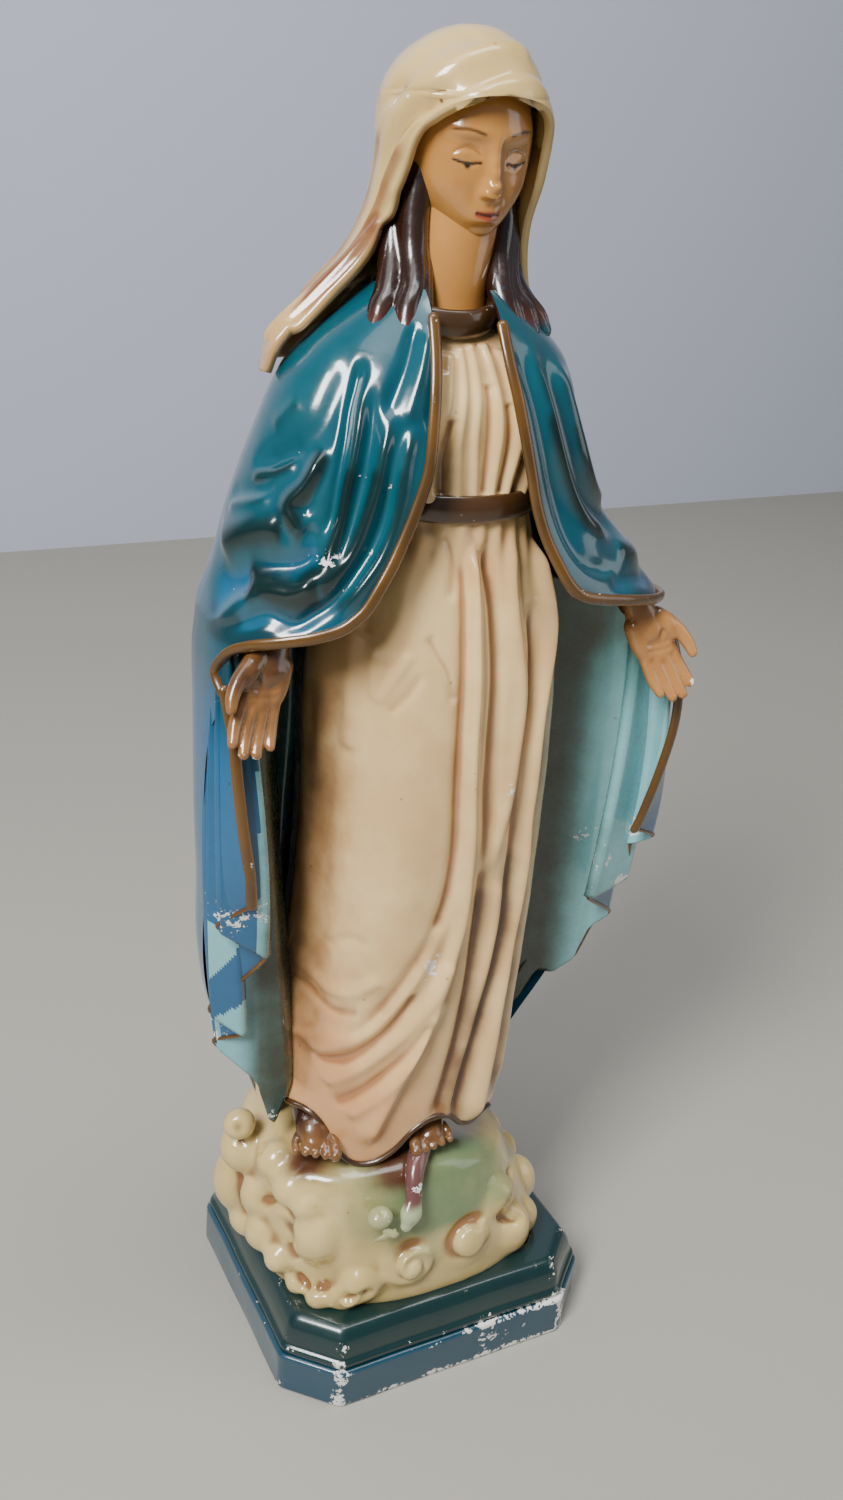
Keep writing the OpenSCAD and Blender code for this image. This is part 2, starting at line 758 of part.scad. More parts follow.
plinth_band();
plinth_moulding();
cloud_mound();
gown_skirt();
gown_bodice();
belt();
hem_trim();
neckline_band();
arm(RIGHT);  // right_arm
arm(LEFT);  // left_arm
wrist_wire(RIGHT);  // right_wrist_wire
wrist_wire(LEFT);  // left_wrist_wire
hand(RIGHT);  // right_hand
hand(LEFT);  // left_hand
foot(RIGHT);  // right_foot
foot(LEFT);  // left_foot
mantle();
mantle_lining();
mantle_trim(RIGHT, 0.665, 0.965);  // right_mantle_trim
mantle_trim(LEFT, 0.665, 0.965);  // left_mantle_trim
mantle_trim(RIGHT, 0.22, 0.55);  // right_edge_trim
mantle_trim(LEFT, 0.22, 0.55);  // left_edge_trim
neck();
head();
hair(RIGHT);  // right_hair
hair(LEFT);  // left_hair
veil();
serpent();
apple();
apple_leaf();
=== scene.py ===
"""Painted plaster statue of a veiled, standing figure: the modelled surfaces and their old gloss paint."""

import math

import bpy
import numpy as np
from bpy.props import FloatProperty, FloatVectorProperty, PointerProperty
from mathutils import Matrix, Vector


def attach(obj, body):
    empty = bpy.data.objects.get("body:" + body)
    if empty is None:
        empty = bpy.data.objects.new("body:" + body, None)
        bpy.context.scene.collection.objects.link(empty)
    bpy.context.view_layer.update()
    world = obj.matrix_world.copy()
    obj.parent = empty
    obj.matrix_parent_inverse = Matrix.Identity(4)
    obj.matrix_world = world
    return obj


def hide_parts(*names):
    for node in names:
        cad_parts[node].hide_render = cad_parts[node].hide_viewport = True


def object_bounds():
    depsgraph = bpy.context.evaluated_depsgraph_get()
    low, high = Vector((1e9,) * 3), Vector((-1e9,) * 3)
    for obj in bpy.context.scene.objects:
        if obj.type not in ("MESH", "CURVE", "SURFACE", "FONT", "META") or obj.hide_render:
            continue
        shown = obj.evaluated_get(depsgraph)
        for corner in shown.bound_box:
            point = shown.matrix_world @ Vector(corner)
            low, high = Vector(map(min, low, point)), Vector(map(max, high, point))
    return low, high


bl_info = {
    "name": "Plaster Statue",
    "version": (1, 0, 0),
    "blender": (4, 5, 0),
    "location": "View3D > Sidebar > Statue",
    "description": "Models a hollow plaster statue's drapery, figure, clouds and plinth, and paints them",
    "category": "Object",
}

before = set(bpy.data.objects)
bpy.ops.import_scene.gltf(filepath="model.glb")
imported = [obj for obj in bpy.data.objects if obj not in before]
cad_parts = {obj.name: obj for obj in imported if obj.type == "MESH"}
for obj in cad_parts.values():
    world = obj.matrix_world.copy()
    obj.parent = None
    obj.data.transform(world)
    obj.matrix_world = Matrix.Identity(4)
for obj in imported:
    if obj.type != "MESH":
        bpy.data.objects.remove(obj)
CAD_LOW, CAD_HIGH = [list(corner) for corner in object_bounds()]
DESIGN_HEIGHT = 499.0                                    # the shapes below are drawn for this height, in mm
MM = (CAD_HIGH[2] - CAD_LOW[2]) / DESIGN_HEIGHT          # metres for each drawn millimetre

PLINTH_TOP, SOLE, WAIST, NECK = 34.0, 98.0, 354.0, 412.0
RIGHT, LEFT = -1, 1                                      # the figure's own sides, along X


# ---------------------------------------------------------------- curves and sections
def step(low, high, x):
    """Eases from 0 at low to 1 at high."""
    t = np.clip((np.asarray(x, float) - low) / (high - low), 0, 1)
    return t * t * (3 - 2 * t)


def bump(x, centre, width):
    return np.exp(-((x - centre) / width) ** 2)


def along(table, x):
    """A smooth curve through a table's rows, keyed by each row's first number."""
    rows = np.array(table, float)
    x = np.clip(np.asarray(x, float), rows[0, 0], rows[-1, 0])
    i = np.clip(np.searchsorted(rows[:, 0], x, side="right") - 1, 0, len(rows) - 2)
    before, after = np.maximum(i - 1, 0), np.minimum(i + 2, len(rows) - 1)
    here, there = rows[i], rows[i + 1]
    width = (there[..., :1] - here[..., :1])
    t = (x[..., None] - here[..., :1]) / width
    rise = (there - rows[before]) / (there[..., :1] - rows[before][..., :1]) * width
    fall = (rows[after] - here) / (rows[after][..., :1] - here[..., :1]) * width
    value = ((2 * t ** 3 - 3 * t ** 2 + 1) * here + (t ** 3 - 2 * t ** 2 + t) * rise
             + (3 * t ** 2 - 2 * t ** 3) * there + (t ** 3 - t ** 2) * fall)
    return value[..., 1:]


def powered(v, p):
    return np.sign(v) * np.abs(v) ** p


def section(angle, row, square, middle=0.0):
    """A point on a body section: angle 0 is the front, 90 degrees the figure's left."""
    low, high, front, back = (row[..., k] for k in range(4))
    s, c = np.sin(angle), np.cos(angle)
    x = (low + high) / 2 + (high - low) / 2 * powered(s, square)
    y = middle + np.where(c > 0, front - middle, middle - back) * powered(c, square)
    return x, y


def angle_of(x, row, square):
    """The front angle at which a section reaches x."""
    s = (x - (row[..., 0] + row[..., 1]) / 2) / ((row[..., 1] - row[..., 0]) / 2)
    return np.arcsin(powered(np.clip(s, -1, 1), 1 / square))


def smooth_path(points, steps=6):
    """More points along the same smooth line."""
    p = np.array(points, float)
    keyed = np.column_stack([np.arange(len(p)), p])
    return along(keyed, np.linspace(0, len(p) - 1, (len(p) - 1) * steps + 1))


def fold(S, Z, path, width, height, steep=0, fade=(0.12, 0.2)):
    """Relief of one fold along a path. steep names the side, -1 or 1, that falls away sharply."""
    line = smooth_path(path)
    w = np.atleast_1d(width).astype(float)
    reach = 3.2 * w.max()
    relief = np.zeros_like(S)
    near = ((S > line[:, 0].min() - reach) & (S < line[:, 0].max() + reach)
            & (Z > line[:, 1].min() - reach) & (Z < line[:, 1].max() + reach))
    if not near.any():
        return relief
    s, z = S[near], Z[near]
    best, where, side = np.full(s.shape, 1e9), np.zeros(s.shape), np.zeros(s.shape)
    count = len(line) - 1
    for k in range(count):
        a, d = line[k], line[k + 1] - line[k]
        size = max(float(d @ d), 1e-9)
        t = np.clip(((s - a[0]) * d[0] + (z - a[1]) * d[1]) / size, 0, 1)
        gap = np.hypot(s - a[0] - t * d[0], z - a[1] - t * d[1])
        closer = gap < best
        best[closer] = gap[closer]
        where[closer] = ((k + t) / count)[closer]
        side[closer] = np.sign((s - a[0]) * d[1] - (z - a[1]) * d[0])[closer]
    wide = w[0] + (w[-1] - w[0]) * where
    wide = np.where(side * steep > 0, 0.38 * wide, wide)
    ends = step(0, max(fade[0], 1e-3), where) * step(0, max(fade[1], 1e-3), 1 - where)
    relief[near] = height * ends * np.exp(-(best / wide) ** 2)
    return relief


def unevenness(S, Z, size, depth, seed):
    """Soft hand-made waviness."""
    rng = np.random.default_rng(seed)
    out = np.zeros_like(S)
    for _ in range(7):
        turn, phase, scale = rng.uniform(0, 2 * math.pi), rng.uniform(0, 2 * math.pi), rng.uniform(0.6, 1.6)
        out += np.sin((S * math.cos(turn) + Z * math.sin(turn)) / (size * scale) * 2 * math.pi + phase)
    return out * depth / 3


# ---------------------------------------------------------------- meshes
def clear_selection():
    if bpy.context.object and bpy.context.object.mode != "OBJECT":
        bpy.ops.object.mode_set(mode="OBJECT")
    bpy.ops.object.select_all(action="DESELECT")


def get_points(piece):
    co = np.empty(len(piece.data.vertices) * 3)
    piece.data.vertices.foreach_get("co", co)
    return co.reshape(-1, 3)


def set_points(piece, points):
    piece.data.vertices.foreach_set("co", np.asarray(points, float).ravel())
    piece.data.update()


def get_normals(piece):
    n = np.empty(len(piece.data.vertices) * 3)
    piece.data.vertex_normals.foreach_get("vector", n)
    return n.reshape(-1, 3)


def only(piece):
    clear_selection()
    piece.select_set(True)
    bpy.context.view_layer.objects.active = piece


def merged(piece, distance=0.02, outward=True):
    only(piece)
    bpy.ops.object.mode_set(mode="EDIT")
    bpy.ops.mesh.select_all(action="SELECT")
    bpy.ops.mesh.remove_doubles(threshold=distance * MM)
    if outward:
        bpy.ops.mesh.normals_make_consistent(inside=False)
    bpy.ops.object.mode_set(mode="OBJECT")


def surface(name, columns, rows, place, relief=None, closed=True):
    """A sheet laid by place(u, v) in mm, then raised along its normals by relief(u, v, points)."""
    clear_selection()
    bpy.ops.mesh.primitive_grid_add(x_subdivisions=columns, y_subdivisions=rows, size=1)
    piece = bpy.context.object
    piece.name = name
    flat = get_points(piece)
    across, up = columns + 1, rows + 1
    u = (flat[:, 0] + 0.5).reshape(up, across)
    v = (flat[:, 1] + 0.5).reshape(up, across)
    points = np.stack(place(u, v), axis=-1)
    if relief is not None:
        du, dv = np.gradient(points, axis=1), np.gradient(points, axis=0)
        if closed:
            du[:, 0] = du[:, -1] = points[:, 1] - points[:, -2]
        normal = np.cross(du, dv)
        normal /= np.maximum(np.linalg.norm(normal, axis=-1, keepdims=True), 1e-9)
        points = points + normal * relief(u, v, points)[..., None]
    set_points(piece, points.reshape(-1, 3) * MM)
    if closed:
        merged(piece)
    smooth(piece)
    return piece


def smooth(piece):
    only(piece)
    bpy.ops.object.shade_smooth()


def apply(piece, kind, **settings):
    only(piece)
    modifier = piece.modifiers.new(kind.title(), kind)
    for key, value in settings.items():
        setattr(modifier, key, value)
    bpy.ops.object.modifier_apply(modifier=modifier.name)


def joined(pieces, name):
    clear_selection()
    for piece in pieces:
        piece.select_set(True)
    bpy.context.view_layer.objects.active = pieces[0]
    if len(pieces) > 1:
        bpy.ops.object.join()
    pieces[0].name = name
    return pieces[0]


def ball(at, sizes, turn=(0, 0, 0), segments=32):
    clear_selection()
    bpy.ops.mesh.primitive_uv_sphere_add(segments=segments, ring_count=segments // 2, radius=1)
    piece = bpy.context.object
    about_x, about_y, about_z = (Matrix.Rotation(turn[k], 3, "XYZ"[k]) for k in range(3))
    spin = about_z @ about_y @ about_x
    set_points(piece, (get_points(piece) * np.array(sizes)) @ np.array(spin).T * MM + np.array(at) * MM)
    return piece


def limb(points, radii, sides=16, flatten=1.0, flat_axis=(0, 1, 0)):
    """A rounded tube through points with its own radius at each, closed at both ends."""
    path = smooth_path(points, 5)
    size = smooth_path([[r] for r in radii], 5)[:, 0]
    ends = 6
    flat = np.array(flat_axis, float)
    tangent = np.gradient(path, axis=0)
    tangent /= np.linalg.norm(tangent, axis=1, keepdims=True)

    def place(u, v):
        rows = len(path) + 2 * ends
        k = v * (rows - 1)
        inner = np.clip(k - ends, 0, len(path) - 1)
        index = np.arange(len(path))
        centre = np.stack([np.interp(inner, index, path[:, c]) for c in range(3)], -1)
        along_dir = np.stack([np.interp(inner, index, tangent[:, c]) for c in range(3)], -1)
        r = np.interp(inner, index, size)
        before, after = np.clip(ends - k, 0, ends) / ends, np.clip(k - (rows - 1 - ends), 0, ends) / ends
        cap = np.where(before > 0, before, after)
        centre = centre + along_dir * (r * np.sin(cap * math.pi / 2) * np.where(before > 0, -1, 1))[..., None]
        r = r * np.cos(cap * math.pi / 2)
        aside = np.cross(along_dir, flat)
        aside /= np.maximum(np.linalg.norm(aside, axis=-1, keepdims=True), 1e-9)
        deep = np.cross(aside, along_dir)
        a = 2 * math.pi * u
        out = centre + (r * np.cos(a))[..., None] * aside + (r * flatten * np.sin(a))[..., None] * deep
        return out[..., 0], out[..., 1], out[..., 2]

    return surface("limb", sides, len(path) + 2 * ends - 1, place)


def cast(pieces, name, grain, rounds=5):
    """Joins rough pieces into one skin and softens it, as plaster does in its mould."""
    piece = joined(pieces, name)
    apply(piece, "REMESH", mode="VOXEL", voxel_size=grain * MM)
    apply(piece, "SMOOTH", factor=0.6, iterations=rounds)
    smooth(piece)
    return piece


def dab(piece, at, sizes, amount):
    """Presses or raises a soft oval spot on a piece along its normals."""
    points, normals = get_points(piece), get_normals(piece)
    q = (points / MM - np.array(at)) / np.array(sizes)
    weight = np.exp(-(q ** 2).sum(1))
    set_points(piece, points + normals * (weight * amount * MM)[:, None])


def furrow(piece, path, width, depth, fade=(0.2, 0.2)):
    """A line pressed in, or raised with a negative depth, along points in space."""
    points, normals = get_points(piece), get_normals(piece)
    p = points / MM
    line = smooth_path(path)
    low, high = line.min(0) - 4 * width, line.max(0) + 4 * width
    near = ((p > low) & (p < high)).all(1)
    q = p[near]
    best, where = np.full(len(q), 1e9), np.zeros(len(q))
    count = len(line) - 1
    for k in range(count):
        d = line[k + 1] - line[k]
        t = np.clip((q - line[k]) @ d / max(float(d @ d), 1e-9), 0, 1)
        gap = np.linalg.norm(q - line[k] - t[:, None] * d, axis=1)
        closer = gap < best
        best[closer], where[closer] = gap[closer], ((k + t) / count)[closer]
    ends = step(0, max(fade[0], 1e-3), where) * step(0, max(fade[1], 1e-3), 1 - where)
    p[near] -= normals[near] * (depth * ends * np.exp(-(best / width) ** 2))[:, None]
    set_points(piece, p * MM)


def attribute(piece, name, values):
    data = piece.data.attributes.get(name) or piece.data.attributes.new(name, "FLOAT", "POINT")
    data.data.foreach_set("value", np.asarray(values, np.float32))


def paint_maps(piece, reach=26):
    """Stores how hollow and how proud each place is, for washes that gather and edges that wear."""
    mesh = piece.data
    edges = np.empty(len(mesh.edges) * 2, int)
    mesh.edges.foreach_get("vertices", edges)
    edges = edges.reshape(-1, 2)
    count = len(mesh.vertices)
    a = np.concatenate([edges[:, 0], edges[:, 1]])
    b = np.concatenate([edges[:, 1], edges[:, 0]])
    degree = np.maximum(np.bincount(a, minlength=count), 1)
    start, normals = get_points(piece), get_normals(piece)
    soft = start.copy()
    result = {}
    for k in range(1, reach + 1):
        soft = np.stack([np.bincount(a, soft[b, c], minlength=count) for c in range(3)], -1) / degree[:, None]
        if k in (4, reach):
            result[k] = ((soft - start) * normals).sum(1) / MM
    attribute(piece, "hollow", np.clip(result[reach] / 1.1, 0, 1))
    attribute(piece, "proud", np.clip(-result[4] / 0.16, 0, 1))


def finish(piece, slot, nodes, *materials, reach=26):
    paint_maps(piece, reach)
    for material in materials:
        if material.name not in piece.data.materials:
            piece.data.materials.append(material)
    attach(piece, "root")
    if nodes:
        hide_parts(*nodes)
    return piece


# ---------------------------------------------------------------- old gloss paint
def tint(code):
    """A hex colour as linear values."""
    parts = [int(code[k:k + 2], 16) / 255 for k in (0, 2, 4)]
    return [c / 12.92 if c <= 0.04045 else ((c + 0.055) / 1.055) ** 2.4 for c in parts] + [1.0]


class Graph:
    """Adds nodes to a node tree and links them as they are made."""

    def __init__(self, tree):
        self.nodes, self.links = tree.nodes, tree.links
        self.nodes.clear()

    def add(self, kind, inputs=None, **settings):
        node = self.nodes.new(kind)
        for key, value in settings.items():
            setattr(node, key, value)
        for key, value in (inputs or {}).items():
            if isinstance(value, bpy.types.NodeSocket):
                self.links.new(value, node.inputs[key])
            else:
                node.inputs[key].default_value = value
        return node

    def math(self, operation, a, b=0.0, clamp=False):
        return self.add("ShaderNodeMath", {0: a, 1: b}, operation=operation, use_clamp=clamp).outputs[0]

    def mix(self, factor, a, b):
        return self.add("ShaderNodeMix", {0: factor, 6: a, 7: b}, data_type="RGBA").outputs[2]

    def ramp(self, value, low, high, to_low=0.0, to_high=1.0):
        return self.add("ShaderNodeMapRange", {0: value, 1: low, 2: high, 3: to_low, 4: to_high},
                        interpolation_type="SMOOTHSTEP").outputs[0]

    def noise(self, vector, scale, detail=3.0, rough=0.55):
        return self.add("ShaderNodeTexNoise", {"Vector": vector, "Scale": scale, "Detail": detail,
                                               "Roughness": rough}).outputs[0]

    def stored(self, name):
        return self.add("ShaderNodeAttribute", attribute_name=name).outputs["Fac"]


def group(name, sockets_in, sockets_out):
    tree = bpy.data.node_groups.new(name, "ShaderNodeTree")
    for label, kind in sockets_in:
        tree.interface.new_socket(label, in_out="INPUT", socket_type="NodeSocket" + kind)
    for label, kind in sockets_out:
        tree.interface.new_socket(label, in_out="OUTPUT", socket_type="NodeSocket" + kind)
    return tree


def old_paint():
    """The shared look: uneven coats, a brown wash in the hollows, airbrushed places, painted marks and painted
    shade laid in by each piece, and plaster chips.
    """
    if "old_paint" in bpy.data.node_groups:
        return bpy.data.node_groups["old_paint"]
    tree = group("old_paint",
                 [("Base", "Color"), ("Second", "Color"), ("Accent", "Color"), ("Wash", "Color"),
                  ("Stain And Shade", "Color"), ("Chip", "Color"), ("Wash Amount", "Float"), ("Wear", "Float"),
                  ("Gloss", "Float")],
                 [("Color", "Color"), ("Roughness", "Float"), ("Coat", "Float"), ("Height", "Float")])
    g = Graph(tree)
    given = g.add("NodeGroupInput").outputs
    where = g.add("ShaderNodeTexCoord").outputs["Object"]
    patch = g.ramp(g.noise(where, 38.0, 4.0), 0.3, 0.7)
    fine = g.noise(where, 240.0, 5.0)
    drift = g.math("SUBTRACT", g.noise(where, 75.0, 3.0), 0.5)
    colour = g.mix(g.math("MULTIPLY", patch, 0.8), given["Base"], given["Second"])
    accent = g.ramp(g.math("ADD", g.stored("accent"), g.math("MULTIPLY", drift, 0.5)), 0.05, 0.95)
    colour = g.mix(g.math("MULTIPLY", accent, g.ramp(g.stored("accent"), 0.0, 0.15)), colour, given["Accent"])
    wash = g.ramp(g.math("ADD", g.stored("hollow"), g.math("MULTIPLY", drift, 0.55)), 0.08, 0.9)
    colour = g.mix(g.math("MULTIPLY", wash, given["Wash Amount"]), colour, given["Wash"])
    # The stored stain mask carries real painted marks, such as brows and lashes, and the painted shade that
    # pieces lay in their shaded places.
    stain_and_shade = g.ramp(g.math("ADD", g.stored("stain_and_shade"), g.math("MULTIPLY", drift, 0.45)), 0.05, 0.95)
    colour = g.mix(g.math("MULTIPLY", stain_and_shade, g.ramp(g.stored("stain_and_shade"), 0.0, 0.15)), colour, given["Stain And Shade"])
    spread = g.ramp(g.noise(where, 520.0, 6.0, 0.7), 0.3, 0.7)
    patchy = g.ramp(g.noise(where, 130.0, 4.0, 0.6), 0.3, 0.7)
    flecks = g.math("ADD", g.math("MULTIPLY", spread, 0.45), g.math("MULTIPLY", patchy, 0.55))
    worn = g.math("ADD", g.math("MULTIPLY", g.stored("proud"), g.math("MULTIPLY", given["Wear"], 0.48)),
                  g.stored("flake"))
    chip = g.ramp(g.math("ADD", flecks, worn), 1.05, 1.1)
    spots = g.add("ShaderNodeTexVoronoi", {"Vector": where, "Scale": 95.0}, feature="F1").outputs["Distance"]
    speck = g.math("MULTIPLY", g.ramp(spots, 0.075, 0.045), g.ramp(g.noise(where, 60.0), 0.5, 0.56))
    colour = g.mix(g.math("MULTIPLY", speck, 0.4), colour, given["Stain And Shade"])
    colour = g.mix(chip, colour, given["Chip"])
    rough = g.math("ADD", given["Gloss"], g.math("MULTIPLY", g.math("SUBTRACT", fine, 0.4), 0.14))
    rough = g.math("ADD", rough, g.math("MULTIPLY", chip, 0.5), clamp=True)
    coat = g.math("MULTIPLY", g.math("SUBTRACT", 1.0, chip), 0.7)
    height = g.math("ADD", g.math("MULTIPLY", fine, 0.16), g.math("MULTIPLY", g.noise(where, 110.0), 0.5))
    height = g.math("SUBTRACT", height, g.math("MULTIPLY", chip, 0.55))
    g.add("NodeGroupOutput", {"Color": colour, "Roughness": rough, "Coat": coat, "Height": height})
    return tree


def paint(name, base, second, accent, wash, stain_and_shade, wash_amount=0.7, wear=0.6, gloss=0.24, metal=0.0,
          chip="e6e3dc"):
    """A glossy painted-plaster material."""
    material = bpy.data.materials.new(name)
    material.use_nodes = True
    g = Graph(material.node_tree)
    colours = {"Base": base, "Second": second, "Accent": accent, "Wash": wash, "Stain And Shade": stain_and_shade, "Chip": chip}
    inputs = {key: (tint(value) if isinstance(value, str) else value) for key, value in colours.items()}
    inputs.update({"Wash Amount": wash_amount, "Wear": wear, "Gloss": gloss})
    node = g.nodes.new("ShaderNodeGroup")
    node.node_tree = old_paint()
    for key, value in inputs.items():
        node.inputs[key].default_value = value
    out = node.outputs
    bump_node = g.add("ShaderNodeBump", {"Height": out["Height"], "Strength": 0.5, "Distance": 0.5 * MM})
    shader = g.add("ShaderNodeBsdfPrincipled", {
        "Base Color": out["Color"], "Roughness": out["Roughness"], "Coat Weight": out["Coat"],
        "Normal": bump_node.outputs[0], "Metallic": metal, "Coat Roughness": 0.09})
    g.add("ShaderNodeOutputMaterial", {"Surface": shader.outputs[0]})
    return material


def chosen(colour):
    return list(colour) + [1.0]


# ---------------------------------------------------------------- settings
def length(title, note, default):
    return FloatProperty(name=title, description=note, default=default * MM, min=0,
                         subtype="DISTANCE", unit="LENGTH")


def colour(title, note, code):
    return FloatVectorProperty(name=title, description=note, default=tint(code)[:3], min=0, max=1, size=3,
                               subtype="COLOR")


class StatueSizes(bpy.types.PropertyGroup):
    fold_depth: FloatProperty(name="Fold depth",
                              description="How deep the drapery folds are cut, as a factor",
                              default=1.0, min=0.0, max=2.0, subtype="FACTOR")
    trim: length("Trim radius", "Half the width of the gilt edging on the mantle", 2.1)
    cloth: length("Cloth thickness", "Thickness of the mantle's free pleats", 2.4)
    grain: length("Cast grain", "Finest detail the cast clouds hold", 1.05)


class StatueColours(bpy.types.PropertyGroup):
    mantle: colour("Mantle", "Teal of the mantle's outside", "0e4856")
    mantle_light: colour("Mantle, lower side", "Bluer teal low on the mantle's sides", "1a5c86")
    lining: colour("Lining", "Light turquoise of the mantle's inside", "70b6b6")
    gown: colour("Gown", "Cream of the gown", "ecc98e")
    gown_wash: colour("Gown wash", "Orange-brown wash in the gown's folds", "9c6038")
    skin: colour("Skin", "Tan of the face and neck", "bd8543")
    veil: colour("Veil", "Ivory of the veil", "d0b274")
    cloud: colour("Clouds", "Cream of the clouds", "d8c081")
    grass: colour("Green airbrush", "Green sprayed over the top of the clouds", "6c8058")
    plinth: colour("Plinth", "Dark teal of the plinth", "08282a")
    gold: colour("Gilding", "Bronze-gold of the edgings", "6a4716")


# ---------------------------------------------------------------- plinth
def outline(inset, share):
    """The plinth's eight-sided outline, with softened corners, at shares around it."""
    w, d, c = 70, 65, 19
    corners = np.array([[w, -d + c], [w, d - c], [w - c, d], [-w + c, d], [-w, d - c], [-w, -d + c],
                        [-w + c, -d], [w - c, -d], [w, -d + c]], float)
    inward = np.sign(corners) * np.where(np.abs(corners) > [[60, 60]], 1.0, 0.414)
    marks = np.array([0, 16, 20, 38, 42, 58, 62, 80, 84]) / 84
    near = [-0.004, -0.002, 0, 0.002, 0.004]
    return [sum(np.interp((share + k) % 1, marks, corners[:, axis])
                - inset * np.interp((share + k) % 1, marks, inward[:, axis]) for k in near) / 5
            for axis in (0, 1)]


def moulded_ring(name, profile, rows=84, columns=504):
    """A hollow eight-sided ring with a moulded side; profile is (inset, z) all the way round its section."""
    line = np.array(profile + profile[:1], float)
    far = np.concatenate([[0], np.cumsum(np.hypot(*np.diff(line, axis=0).T))])

    def place(u, v):
        inset = np.interp(v * far[-1], far, line[:, 0])
        z = np.interp(v * far[-1], far, line[:, 1])
        x, y = outline(inset, u)
        sag = unevenness(x + y, z * 2, 55, 0.22, 5) * (z > 0.5)
        return x * (1 + sag / 70), y * (1 + sag / 70), z + 0 * x

    return surface(name, columns, rows, place)


def flake_plinth(piece):
    """Where the paint has flaked: the front edge of the lower tier and its corners."""
    x, y, z = (get_points(piece) / MM).T
    front = step(-60, -64, y)
    upper_edge = bump(z, 17.6, 1.6) * step(-16, 22, x) * front
    spread = bump(z, 10, 6) * bump(x, 16, 17) * front
    lower_edge = bump(z, 1.4, 1.8) * step(-50, -25, x) * front
    corner = bump(np.hypot(x + 51, y + 64), 0, 4.5) * (0.55 + 0.4 * bump(z, 1, 3) + 0.4 * bump(z, 18, 3))
    other = bump(np.hypot(x - 51, y + 64), 0, 5) * 0.75
    corner3 = bump(np.hypot(x + 69, y + 46), 0, 3) * bump(z, 1, 2.5) * 0.9
    attribute(piece, "flake", np.clip(0.5 * upper_edge + 0.46 * spread + 0.48 * lower_edge + 0.52 * corner
                                      + 0.46 * other + 0.46 * corner3, 0, 0.54))
    attribute(piece, "accent", step(19, 17, z))


class STATUE_OT_plinth(bpy.types.Operator):
    """Makes the two hollow tiers of the plinth"""
    bl_idname = "statue.plinth"
    bl_label = "Plinth"

    def execute(self, context):
        hue = context.scene.statue_colours
        teal = paint("plinth_paint", chosen(hue.plinth), "0a2e2c", "174256", "061a1a", "082020",
                     0.5, 0.36, 0.3)
        band = moulded_ring("plinth_band_skin", [
            (0.5, 0), (0, 0.6), (0, 5), (0, 16.6), (0.3, 17.4), (1, 17.9), (2.2, 18), (8, 18), (13, 18),
            (13, 8), (13, 0)])
        tier = moulded_ring("plinth_moulding_skin", [
            (2.6, 18.0), (2.0, 18.4), (1.5, 19.2), (1.4, 20.4), (1.7, 21.4), (2.6, 21.9), (3.1, 22.4),
            (3.2, 23.2), (3.4, 25), (4.0, 27.5), (5.0, 30), (6.4, 32.2), (7.4, 33.2), (8.4, 33.7), (9.8, 34),
            (16, 34), (20, 34), (20, 28), (18, 20), (18, 18), (9, 18)])
        for piece, node in ((band, "plinth_band"), (tier, "plinth_moulding")):
            flake_plinth(piece)
            finish(piece, "teal_dark", [node], teal, reach=8)
        return {"FINISHED"}


# ---------------------------------------------------------------- clouds
MOUND = [[0, -61, 61, -56, 56], [0.3, -63, 58, -56, 54], [0.6, -65, 52, -54, 49], [0.85, -64, 46, -50, 43],
         [1, -60, 42, -45, 38]]
# Puffs: x, y, z, radius, height of the radius upward
PUFFS = [
    (-72, -2, 101, 7, 7), (-67, 4, 84, 11, 12), (-64, 12, 60, 14, 17), (-61, -6, 66, 12, 12),
    (-60, -14, 88, 9, 9), (-57, -26, 84, 10, 9), (-54, -33, 80, 8, 7), (-62, -12, 52, 11, 10),
    (-61, 6, 44, 12, 10), (-62, -24, 47, 7, 7), (-50, -35, 66, 12, 14), (-57, -21, 38, 6.5, 6),
    (-56, -30, 37, 6, 5.5), (-51, -40, 37, 6.5, 6), (-43, -46, 39, 7.5, 7), (-36, -47, 46, 9.5, 10),
    (-18, -48, 53, 13, 12), (8, -47, 54, 12.5, 13), (34, -43, 45, 10, 13), (25, -43, 66, 10, 9),
    (44, -35, 41, 9, 10), (50, -20, 46, 10, 13), (52, -2, 46, 9, 13), (52, 14, 46, 10, 12),
    (46, 30, 50, 11, 13), (30, 42, 52, 13, 13), (8, 44, 50, 13, 12), (-14, 44, 54, 13, 13),
    (-36, 40, 52, 13, 12), (-54, 30, 50, 13, 14), (34, 32, 74, 10, 8), (-44, 26, 78, 14, 12),
    (0, 36, 78, 13, 9)]
# Curls cut into the puffs: centre x, z, radius and turns, all seen from the front
CURLS = [(-18, 54, 10.5, 1.5), (9, 56, 10, 0.9), (34, 60, 8, 0.8), (-44, 39, 4, 0.9)]
# Grooves between the puffs: path in x, y, z, width and depth
GROOVES = [
    ([(-66, -12, 67), (-65, -24, 75), (-60, -34, 73)], 3.2, 3.2),
    ([(-62, -29, 58), (-59, -34, 50)], 2.4, 2.6),
    ([(-59, -31, 44), (-54, -38, 40), (-49, -46, 47)], 2.0, 2.2),
    ([(-45, -50, 70), (-46, -50, 54), (-49, -48, 45)], 2.0, 2.2),
    ([(-31, -56, 60), (-27, -58, 48), (-17, -60, 40)], 2.2, 2.4),
    ([(34, -52, 68), (27, -55, 57), (21, -58, 48)], 2.2, 2.4),
    ([(-6, -58, 62), (-4, -60, 50), (-6, -58, 40)], 1.8, 1.8),
    ([(-74, 4, 94), (-70, -6, 92), (-64, -12, 95)], 2.2, 2.0)]
